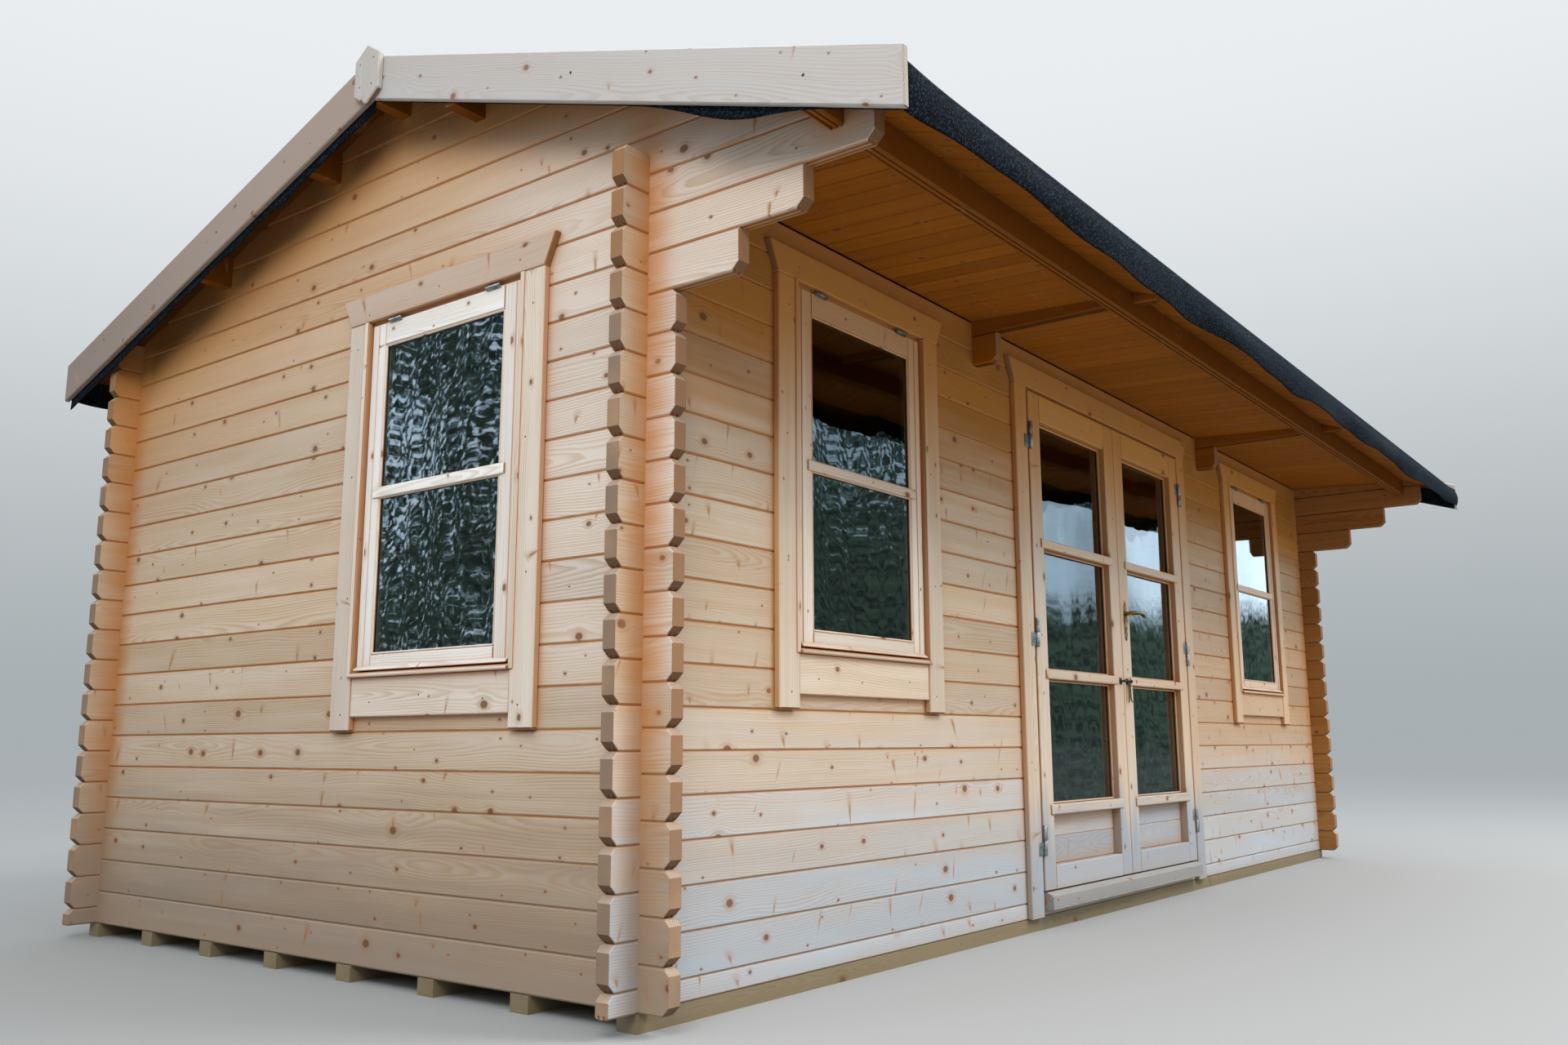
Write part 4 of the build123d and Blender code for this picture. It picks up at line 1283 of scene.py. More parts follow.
@dataclass
class Roof:
    """Boards, felt, verge boards, purlins and tie beams."""

    palette: Palette
    board: float = 0.0958
    barge_above: float = 0.056
    barge_below: float = 0.095
    barge_end: float = 1.995
    barge_inner: float = 3.1135
    barge_thick: float = 0.02
    plate_half: float = 0.064
    plate_above: float = 0.086
    plate_below: float = 0.122
    ceiling_board: float = 0.0985
    ceiling_thick: float = 0.012
    ceiling_fall: float = 0.028
    purlin: float = -1.738
    purlin_foot: float = 2.157
    slope_purlins: tuple = (-0.378, 0.378, 1.049)
    slope_purlin_deep: float = 0.105
    tie: float = 1.195
    tie_nose: float = 0.088

    def planks(self, side: Side) -> None:
        """Roof boards of a slope, each running down it.

        Args:
            side: Front or back slope.
        """
        name = side.name.lower()
        stack = Stack(f"roof_planks_{name}", 61 + side.value)
        cuts, turn, spare = upright_cuts(side, 0.0, PLAN.eave), slope_turn(side), 0.02
        length = PLAN.eave / math.cos(PLAN.pitch) + spare
        thick = PLAN.roof_board * math.cos(PLAN.pitch)
        edge = -PLAN.verge
        while edge < PLAN.verge - 0.01:
            far = min(edge + self.board, PLAN.verge)
            stack.board((-spare, edge, 0.0), (length, far, thick), Grain.X, LAPPED, cuts, turn, Grain.Y)
            edge += self.board
        stack.place((f"roof_boards_{name}",), "boarding", (self.palette.inner, self.palette.warm_end))

    def barge(self, name: str, way: float) -> None:
        """Two verge boards of one gable.

        Args:
            name: Left or right.
            way: -1 at the left gable, 1 at the right.
        """
        stack, spare = Stack(f"verge_boards_{name}", 71 + int(way)), 0.08
        low, high = (level * math.cos(PLAN.pitch) for level in (-self.barge_below, self.barge_above))
        length = self.barge_end / math.cos(PLAN.pitch) + spare
        for side in Side:
            faces = (self.barge_inner, self.barge_inner + self.barge_thick)
            near, far = sorted(-side.value * way * face for face in faces)
            cuts = upright_cuts(side, 0.0005, self.barge_end)
            stack.board((-spare, near, low), (length, far, high), Grain.X, LAPPED, cuts, slope_turn(side))
        stack.place((f"bargeboards_{name}",), "joinery", (self.palette.verge, self.palette.verge_end))

    def plates(self) -> None:
        """Six-sided plates over the joints of the verge boards."""
        stack = Stack("ridge_cover_plates", 83)
        half, high, low = self.plate_half, PLAN.ridge + self.plate_above, PLAN.ridge - self.plate_below
        fall = half * PLAN.slope * 2
        face = self.barge_inner + self.barge_thick
        ends = ((high, half), (low, -half))
        cuts = [((0.0, 0.0, z), (0.0, side * fall, up)) for side in BOTH for z, up in ends]
        for way in BOTH:
            x0, x1 = sorted((way * face, way * (face + 0.02)))
            stack.board((x0, -half, low), (x1, half, high), Grain.Z, 0.004, cuts)
        stack.place(("ridge_plates",), "joinery", (self.palette.ridge, self.palette.verge_end))

    def ceiling(self) -> None:
        """Boards between the front wall's top and the porch purlin, in three bays."""
        stack = Stack("porch_boards", 97)
        edge = PLAN.half_length - PLAN.log
        near, far = self.tie - PLAN.log / 2, self.tie + PLAN.log / 2
        depth = PLAN.front - self.purlin - PLAN.log
        turn = Matrix.Rotation(math.atan(self.ceiling_fall / depth), 4, "X")
        turn = Matrix.Translation((0.0, PLAN.front, PLAN.wall_top)) @ turn
        for x0, x1 in ((-edge, -far), (-near, near), (far, edge)):
            count = round((x1 - x0) / self.ceiling_board)
            width = (x1 - x0) / count
            for number in range(count):
                low = (x0 + number * width, -depth, 0.0)
                high = (x0 + (number + 1) * width, 0.0, self.ceiling_thick)
                stack.board(low, high, Grain.Y, LAPPED, (), turn, Grain.X)
        stack.place(("porch_ceiling",), "boarding", (self.palette.inner, self.palette.warm_end))

    def purlins(self) -> None:
        """Porch purlin with its grooved underside, ridge purlin and slope purlins."""
        stack = Stack("purlin_logs", 149)
        half = PLAN.log / 2
        block = shape_log(-PLAN.verge, PLAN.verge, self.purlin_foot, self.purlin_foot + PLAN.course)
        block.transform(Matrix.Translation((0.0, self.purlin + half, 0.0)))
        plane_to_roof(block)
        stack.lay(block, Grain.X.vector)
        for y in (0.0, *self.slope_purlins):
            low = (-PLAN.verge, y - half, PLAN.underside(y) - self.slope_purlin_deep)
            block = box_mesh(low, (PLAN.verge, y + half, PLAN.ridge + 0.02))
            ease(block, 0.0015)
            plane_to_roof(block)
            stack.lay(block, Grain.X.vector)
        nodes = ("canopy_purlin", "ridge_purlin", "slope_purlins")
        stack.place(nodes, "spruce", (self.palette.beam, self.palette.warm_end))

    def ties(self) -> None:
        """Two tie beams over stub logs that pass through the front and the back wall."""
        stack = Stack("tie_logs", 163)
        low = PLAN.wall_top - PLAN.course / 2
        turn = Matrix.Rotation(math.pi / 2, 4, "Z")
        nose = (self.purlin - self.tie_nose, self.purlin, low - 0.011, ((0.01, 0.0), None))
        pieces = [(self.purlin, PLAN.back, low, (None, None)), nose]
        ends = ((PLAN.chamfer_low, 0.0),) * 2
        for y in (PLAN.front, PLAN.back - PLAN.log):
            pieces.append((y - PLAN.log_end, y + PLAN.log + PLAN.log_end, low - PLAN.course, ends))
        for x in (-self.tie, self.tie):
            for start, end, foot, shape in pieces:
                block = shape_log(start, end, foot, foot + PLAN.course, shape)
                block.transform(Matrix.Translation((x, 0.0, 0.0)) @ turn)
                plane_to_roof(block)
                stack.lay(block, Grain.Y.vector, None, Grain.Z.vector)
        stack.place(("tie_beams",), "spruce", (self.palette.tie, self.palette.warm_end))

    def build(self) -> None:
        """Build the roof."""
        for side in Side:
            self.planks(side)
            Felt(self.palette, side).build()
        self.barge("left", -1.0)
        self.barge("right", 1.0)
        self.plates()
        self.ceiling()
        self.purlins()
        self.ties()
        dress("truss_rafters", self.palette.rafter)
        dress("king_posts", self.palette.post)


@dataclass
class Felt:
    """Felt of one slope, lapped over its eave in a wavy flap and down behind the verge boards."""

    palette: Palette
    side: Side
    hang: float = 0.088
    radius: float = 0.026
    lap: float = 0.93
    lap_step: float = 0.0004
    edge_rise: float = 0.009
    verge_drop: float = 0.114
    rows: tuple = (26, 9, 14)

    @property
    def flat(self) -> float:
        """Length that lies on the boards."""
        return PLAN.eave / math.cos(PLAN.pitch) - 0.008

    @property
    def bend(self) -> float:
        """Length of the turn over the eave."""
        return self.radius * (math.pi / 2 - PLAN.pitch)

    def sheet(self, mesh: Mesh) -> None:
        """Lay the felt from the ridge over the eave, in strips that lap.

        Args:
            mesh: Mesh to add to.
        """
        flat, bend = self.flat, self.bend
        lying, turning, hanging = self.rows
        runs = [flat * n / lying for n in range(lying + 1)]
        for number in range(1, 1 + int(flat / self.lap)):
            runs += [number * self.lap - self.lap_step, number * self.lap + self.lap_step]
        runs += [flat + bend * n / turning for n in range(1, turning + 1)]
        runs = sorted(runs + [flat + bend + n / hanging for n in range(1, hanging + 1)])
        made = bmesh.ops.create_grid(mesh, x_segments=300, y_segments=len(runs) - 1, size=0.5)
        span = PLAN.verge + 0.003
        for vert in made["verts"]:
            run = runs[round((vert.co.y + 0.5) * (len(runs) - 1))]
            vert.co = self.drape(vert.co.x * 2 * span, run)
        faces = list({face for vert in made["verts"] for face in vert.link_faces})
        bmesh.ops.recalc_face_normals(mesh, faces=faces)
        if faces[len(faces) // 3].normal.z < 0:
            bmesh.ops.reverse_faces(mesh, faces=faces)

    def drape(self, x: float, run: float) -> Vector:
        """Place of a point of the felt.

        Args:
            x: Place along the roof.
            run: Distance from the ridge; past the bend, the share of the flap.

        Returns:
            The point.
        """
        cos, sin, way = math.cos(PLAN.pitch), math.sin(PLAN.pitch), self.side.value
        edge = max(0.0, (abs(x) - PLAN.verge + 0.22) / 0.22)
        top = PLAN.roof_board + 0.002 + self.edge_rise * edge * edge
        if run <= self.flat:
            crease = max(0.0, noise.noise(Vector((x * 1.7, run * 2.3, way * 5.0))))
            lap = 0.003 * ((run / self.lap) % 1.0)
            rise = (0.0035 * crease + lap) * min(1.0, (self.flat - run) / 0.12)
            return Vector((x, way * run * cos, PLAN.underside(run * cos) + top + rise))
        angle = PLAN.pitch + min(1.0, (run - self.flat) / self.bend) * (math.pi / 2 - PLAN.pitch)
        y = self.flat * cos + self.radius * (math.sin(angle) - sin)
        z = PLAN.underside(self.flat * cos) + top - self.radius * (cos - math.cos(angle))
        share = run - self.flat - self.bend
        if share > 0.0:
            slow = noise.noise(Vector((x * 0.9, 9.0, way * 3.0)))
            quick = noise.noise(Vector((x * 3.4, 2.0, way)))
            wave = 0.020 * noise.noise(Vector((x * 2.1, share * 0.9, way * 4.0)))
            tuck = -0.010 * share + 0.007 * math.sin(x * 6.3 + 3.0 * slow)
            y += (wave + tuck) * share + 0.006 * math.sin(share * math.pi)
            z -= share * (self.hang + 0.024 * slow + 0.014 * quick)
        return Vector((x, way * y, z))

    def flap(self, mesh: Mesh, way: float) -> None:
        """Strip of felt that hangs behind a verge board and shows a little below it.

        Args:
            mesh: Mesh to add to.
            way: -1 at the left verge, 1 at the right.
        """
        side = self.side.value
        made = bmesh.ops.create_grid(mesh, x_segments=150, y_segments=10, size=0.5)
        for vert in made["verts"]:
            y = side * (PLAN.eave - 0.002) * (vert.co.x + 0.5)
            share = 0.5 - vert.co.y
            wander = noise.noise(Vector((y * 2.1, way * 3.0, side * 2.0)))
            quick = noise.noise(Vector((y * 7.0, way * 3.0, side * 7.0)))
            shown = 0.034 + 0.022 * wander + 0.016 * quick
            if self.side is Side.FRONT:
                shown = 0.001 + 0.032 * math.exp(-(((abs(y) - 1.47) / 0.17) ** 2)) + 0.006 * max(0.0, wander)
            lean = 0.02 * noise.noise(Vector((y * 3.2, 5.0, way))) * max(0.0, share - 0.82) / 0.18
            x = way * (PLAN.verge + 0.0016 + max(lean, -0.0005))
            drop = (self.verge_drop + shown) * share
            vert.co = Vector((x, y, PLAN.underside(y) + PLAN.roof_board - drop))
        faces = list({face for vert in made["verts"] for face in vert.link_faces})
        if faces[0].normal.x * way < 0:
            bmesh.ops.reverse_faces(mesh, faces=faces)

    def build(self) -> None:
        """Build the felt."""
        name = self.side.name.lower()
        mesh = bmesh.new()
        self.sheet(mesh)
        for way in BOTH:
            self.flap(mesh, way)
        piece = settle(mesh, f"felt_{name}", (f"roof_felt_{name}",), (self.palette.felt,))
        thick = piece.modifiers.new("thickness", "SOLIDIFY")
        thick.thickness = 0.003
        thick.offset = 0.0


@dataclass
class Floor:
    """Floor boards and the bearers under them."""

    palette: Palette
    width: float = 0.0895

    def build(self) -> None:
        """Build the floor."""
        stack = Stack("floor_planks", 131)
        low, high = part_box("floor_deck")
        count = round((high.x - low.x) / self.width)
        width = (high.x - low.x) / count
        for number in range(count):
            x = low.x + number * width
            stack.board((x, low.y, low.z), (x + width, high.y, high.z), Grain.Y)
        stack.place(("floor_deck",), "boarding", (self.palette.floor, self.palette.end))
        dress("bearers", self.palette.bearer)


# Windows and doors
def wall_turn(x: float, y: float, z: float = 0.0, gable: bool = False) -> Matrix:
    """Matrix of joinery: local X to the right as seen from outside, local -Y outwards.

    Args:
        x: Place in X.
        y: Place in Y.
        z: Level that its heights start from.
        gable: Whether it stands in the left gable.

    Returns:
        The matrix.
    """
    turn = Matrix.Rotation(-math.pi / 2, 4, "Z") if gable else Matrix.Identity(4)
    return Matrix.Translation((x, y, z)) @ turn


def next_finish(mesh: Mesh, first: int, step: int) -> None:
    """Move faces to a later finish of their piece.

    Args:
        mesh: Mesh of the piece.
        first: Number of the first face that moves; all after it move too.
        step: How many finishes later.
    """
    mesh.faces.ensure_lookup_table()
    for face in mesh.faces[first:]:
        face.material_index += step


@dataclass
class Joinery:
    """Boards that are set about the middle of an opening."""

    palette: Palette
    name: str
    seed: int
    turn: Matrix

    def level(
        self,
        stack: Stack,
        half: float,
        depth: Span,
        height: Span,
        arris: float = EASED,
        cuts: Iterable[tuple] = (),
    ) -> None:
        """Add a level board.

        Args:
            stack: Stack to add to.
            half: Half its length.
            depth: Its outer and inner face.
            height: Its foot and top.
            arris: Width of the eased edges.
            cuts: Planes as (point, outward) that trim it.
        """
        low, high = (-half, depth[0], height[0]), (half, depth[1], height[1])
        stack.board(low, high, Grain.X, arris, cuts, self.turn)

    def uprights(self, stack: Stack, *boards: tuple) -> None:
        """Add upright boards at both sides of the opening.

        Args:
            stack: Stack to add to.
            *boards: For each, its edges from the middle, its depth, its height and its arris.
        """
        for side in BOTH:
            for edges, (front, back), (foot, top), arris in boards:
                x0, x1 = sorted(side * edge for edge in edges)
                stack.board((x0, front, foot), (x1, back, top), Grain.Z, arris, (), self.turn)

    def cover(self, stack: Stack, half: float, depth: Span, height: Span, rounding: float) -> None:
        """Add a rounded bar that laps onto both stiles.

        Args:
            stack: Stack to add to.
            half: Half its length.
            depth: Its outer and inner face.
            height: Its foot and top.
            rounding: Width of its round edges.
        """
        block = box_mesh((-half, depth[0], height[0]), (half, depth[1], height[1]))
        ease(block, rounding, 3)
        block.transform(self.turn)
        stack.lay(block, self.turn.to_3x3() @ Grain.X.vector)

    def beads(self, stack: Stack, half: float, depth: Span, height: Span, width: float, arris: float) -> None:
        """Add the beads round a pane.

        Args:
            stack: Stack to add to.
            half: Half the width of the pane's opening.
            depth: Their outer and inner face.
            height: Foot and top of the opening.
            width: Their width.
            arris: Width of their eased edges.
        """
        foot, top = height
        self.uprights(stack, ((half - width, half), depth, height, arris))
        self.level(stack, half, depth, (foot, foot + width), arris)
        self.level(stack, half, depth, (top - width, top), arris)

    def head_board(self, stack: Stack, half: float, foot: float, thick: float) -> None:
        """Add the board over an opening, with slanted ends.

        Args:
            stack: Stack to add to.
            half: Half its length at the foot.
            foot: Its foot.
            thick: Thickness of the trims under it.
        """
        tall, over = 0.095, 0.044
        cuts = [((side * half, 0.0, foot), (side * tall, 0.0, -over)) for side in BOTH]
        self.level(stack, half + over, (-thick - 0.001, 0.0), (foot, foot + tall), EASED, cuts)


@dataclass
class Window(Joinery):
    """Cased window with one glazing bar."""

    finish: Material
    light: Material
    head: Material
    width: float = 0.707
    height: float = 1.111
    gap: float = 0.003
    jamb: float = 0.038
    rebate: float = 0.014
    thick: float = 0.04
    out: float = 0.012
    stile: float = 0.068
    top_rail: float = 0.074
    low_rail: float = 0.048
    bar: float = 0.025
    bar_centre: float = 0.554
    bead: float = 0.007
    trim: float = 0.098
    trim_thick: float = 0.022
    trim_drop: float = 0.042
    fillet: float = 0.016
    setback: float = 0.01
    apron: float = -0.14
    sill: float = -0.02
    lip: float = 0.034

    def surround(self) -> None:
        """Frame, trims, apron, sill lip and head board."""
        stack = Stack(f"{self.name}_casing", self.seed)
        half, foot, head = self.width / 2 + self.gap, -self.gap, self.height + self.gap
        wall, stop = (0.0, PLAN.log), (self.thick - self.out + 0.0003, PLAN.log)
        jamb = ((half, half + self.jamb), wall, (foot - self.jamb, head + self.jamb), FINE)
        self.uprights(stack, jamb, ((half - self.rebate, half), stop, (foot, head), FINE))
        self.level(stack, half, wall, (head, head + self.jamb), FINE)
        self.level(stack, half, wall, (foot - self.jamb, foot), FINE)
        self.level(stack, half, stop, (foot, self.rebate), FINE)
        self.level(stack, half, stop, (head - self.rebate, head), FINE)
        inner = half + self.setback
        outer, top, face = inner + self.trim, self.height + self.rebate, -self.trim_thick
        trim = ((inner, outer), (face, 0.0), (self.apron - self.trim_drop, top), EASED)
        fillet = ((inner, inner + self.fillet), (face - 0.004, face + 0.001), (self.sill, top), 0.0015)
        self.uprights(stack, trim, fillet)
        self.level(stack, inner, (face + 0.004, 0.0), (self.apron, self.sill))
        lip = (((0.0, -self.lip, -0.016), (0.0, -1.0, -0.5)), ((0.0, -self.lip, -0.012), (0.0, -0.4, 1.0)))
        self.level(stack, inner, (-self.lip, 0.0), (self.sill, -0.004), 0.0015, lip)
        first = len(stack.mesh.faces)
        self.head_board(stack, outer, top, self.trim_thick)
        next_finish(stack.mesh, first, 2)
        finishes = (self.finish, self.palette.end, self.head, self.palette.head_end)
        stack.place((f"{self.name}_frame",), "joinery", finishes)

    def sash(self) -> None:
        """Sash with its beads, its drip board and its lapped bar."""
        stack = Stack(f"{self.name}_sash_boards", self.seed + 1)
        face, back, half = -self.out, self.thick - self.out, self.width / 2
        opening, whole = half - self.stile, (face, back)
        stile = ((opening, half), whole, (0.0, self.height), EASED)
        proud = (face - 0.003, face + 0.002)
        strip = ((half - 0.034, half - 0.014), proud, (0.004, self.height - 0.004), 0.0014)
        self.uprights(stack, stile, strip)
        self.level(stack, opening, whole, (0.0, self.low_rail))
        self.level(stack, opening, whole, (self.height - self.top_rail, self.height))
        drip = (((0.0, face - 0.012, 0.004), (0.0, -0.8, 1.0)),)
        self.level(stack, half, (face - 0.012, face + 0.002), (0.0, 0.02), 0.0015, drip)
        low, high = self.bar_centre - self.bar / 2, self.bar_centre + self.bar / 2
        self.level(stack, opening, (face + 0.004, back), (low, high), 0.002)
        self.cover(stack, opening + 0.026, (face - 0.005, face + 0.006), (low - 0.004, high + 0.004), 0.0045)
        for pane in ((self.low_rail, low), (high, self.height - self.top_rail)):
            self.beads(stack, opening, (face + 0.001, face + 0.0098), pane, self.bead, EASED)
        stack.place((f"{self.name}_sash",), "joinery", (self.light, self.palette.end))

    def build(self) -> None:
        """Build the window."""
        self.surround()
        self.sash()


@dataclass
class Doorway(Joinery):
    """Frame, trims and threshold of the double door."""

    half: float = 0.813
    jamb: float = 0.038
    rebate: float = 0.014
    deep: float = 0.062
    head: float = 2.0965
    foot: float = 0.105
    trim: float = 0.098
    trim_thick: float = 0.022
    trim_top: float = 2.1055
    setback: float = 0.01
    leaf_back: float = 0.037

    def build(self) -> None:
        """Build the doorway."""
        finishes = (self.palette.front_joinery, self.palette.end)
        stack = Stack("door_casing", self.seed)
        whole, stop, top = (0.0, self.deep), (self.leaf_back, self.deep), self.head + self.jamb
        jamb = ((self.half, self.half + self.jamb), whole, (self.foot, top), FINE)
        self.uprights(stack, jamb, ((self.half - self.rebate, self.half), stop, (self.foot, self.head), FINE))
        self.level(stack, self.half, whole, (self.head, top), FINE)
        self.level(stack, self.half, stop, (self.head - self.rebate, self.head), FINE)
        stack.place(("door_frame",), "joinery", finishes)
        stack = Stack("door_trim_boards", self.seed + 12)
        inner = self.half + self.setback
        outer = inner + self.trim
        self.uprights(stack, ((inner, outer), (-self.trim_thick, 0.0), (PLAN.base, self.trim_top), EASED))
        self.head_board(stack, outer, self.trim_top, self.trim_thick)
        stack.place(("door_trim",), "joinery", finishes)
        dress("threshold", self.palette.sill)


@dataclass
class Leaf(Joinery):
    """One leaf of the double door, with its outer face at y = 0."""

    body: str
    half: float
    foot: float = 0.1415
    height: float = 1.95
    thick: float = 0.054
    stile: float = 0.096
    top_rail: float = 0.112
    bar: float = 0.034
    panel_rail: float = 0.038
    low_rail: float = 0.089
    panel: float = 0.188
    panel_joint: float = 0.55
    panel_thick: float = 0.012
    recess: float = 0.036
    bead: float = 0.009
    arris: float = 0.0025

    def panes(self) -> list:
        """Share the height over the panes.

        Returns:
            Foot and top of each pane's opening.
        """
        low = self.foot + self.low_rail + self.panel + self.panel_rail
        high = self.foot + self.height - self.top_rail
        pane = (high - low - 2 * self.bar) / 3
        return [(low + n * (pane + self.bar), low + n * (pane + self.bar) + pane) for n in range(3)]

    def build(self) -> None:
        """Build the leaf."""
        stack = Stack(f"{self.name}_boards", self.seed)
        opening, whole, top = self.half - self.stile, (0.0, self.thick), self.foot + self.height
        panel_low = self.foot + self.low_rail
        rail = panel_low + self.panel
        self.uprights(stack, ((opening, self.half), whole, (self.foot, top), self.arris))
        for height in ((top - self.top_rail, top), (self.foot, panel_low), (rail, rail + self.panel_rail)):
            self.level(stack, opening, whole, height, self.arris)
        middle = panel_low + self.panel * self.panel_joint
        for height in ((panel_low, middle), (middle, rail)):
            self.level(stack, opening, (self.recess, self.recess + self.panel_thick), height)
        panes = self.panes()
        for (_, low), (high, _) in zip(panes, panes[1:]):
            self.level(stack, opening, (0.005, self.thick), (low, high), self.arris)
            self.lapped(stack, opening, low, high)
        self.lapped(stack, opening, rail + 0.002, rail + self.panel_rail + 0.002)
        for pane in panes:
            self.beads(stack, opening, (self.recess - 0.012, self.recess - 0.0002), pane, self.bead, 0.004)
        stack.place((self.name,), "joinery", (self.palette.front_joinery, self.palette.end), self.body)

    def lapped(self, stack: Stack, opening: float, low: float, high: float) -> None:
        """Rounded cover of a bar from low to high."""
        self.cover(stack, opening + 0.03, (-0.006, 0.007), (low - 0.001, high + 0.001), 0.0055)


# Ironmongery
def sweep(mesh: Mesh, points: Sequence[Point], radii: Sequence[float], segments: int) -> None:
    """Round bar through points, closed at both ends.

    Args:
        mesh: Mesh to add to.
        points: Centre line.
        radii: Radius at each point.
        segments: Sides of the bar.
    """
    rings = []
    line = [Vector(p) for p in points]
    last = len(line) - 1
    for number, (place, radius) in enumerate(zip(line, radii)):
        way = line[min(last, number + 1)] - line[max(0, number - 1)]
        matrix = Matrix.Translation(place) @ way.normalized().to_track_quat("Z", "Y").to_matrix().to_4x4()
        shape = dict(cap_ends=number in (0, last), segments=segments, radius=radius, matrix=matrix)
        rings.append(bmesh.ops.create_circle(mesh, **shape)["verts"])
    for pair in zip(rings, rings[1:]):
        edges = []
        for ring in pair:
            inside = set(ring)
            edges += [e for v in ring for e in v.link_edges if e.verts[0] in inside and e.verts[1] in inside]
        bmesh.ops.bridge_loops(mesh, edges=list(set(edges)))
    bmesh.ops.recalc_face_normals(mesh, faces=mesh.faces[:])


def drum(
    mesh: Mesh,
    place: Point,
    radius: float,
    length: float,
    axis: Grain,
    arris: float = 0.0006,
    sides: int = 28,
) -> None:
    """Round bar with eased ends.

    Args:
        mesh: Mesh to add to.
        place: Its middle.
        radius: Its radius.
        length: Its length.
        axis: Way it points.
        arris: Width of the eased ends.
        sides: Number of its sides.
    """
    matrix = Matrix.Translation(place) @ axis.vector.to_track_quat("Z", "Y").to_matrix().to_4x4()
    single = bmesh.new()
    size = dict(radius1=radius, radius2=radius, depth=length)
    bmesh.ops.create_cone(single, cap_ends=True, segments=sides, matrix=matrix, **size)
    ease(single, arris, 2, [e for e in single.edges if e.calc_face_angle(0.0) > 1.2])
    join(mesh, single)


def plate(mesh: Mesh, low: Point, high: Point, arris: float = 0.0006) -> None:
    """Flat plate with eased edges.

    Args:
        mesh: Mesh to add to.
        low: Lowest corner.
        high: Highest corner.
        arris: Width of the eased edges.
    """
    single = box_mesh(low, high)
    ease(single, arris)
    join(mesh, single)


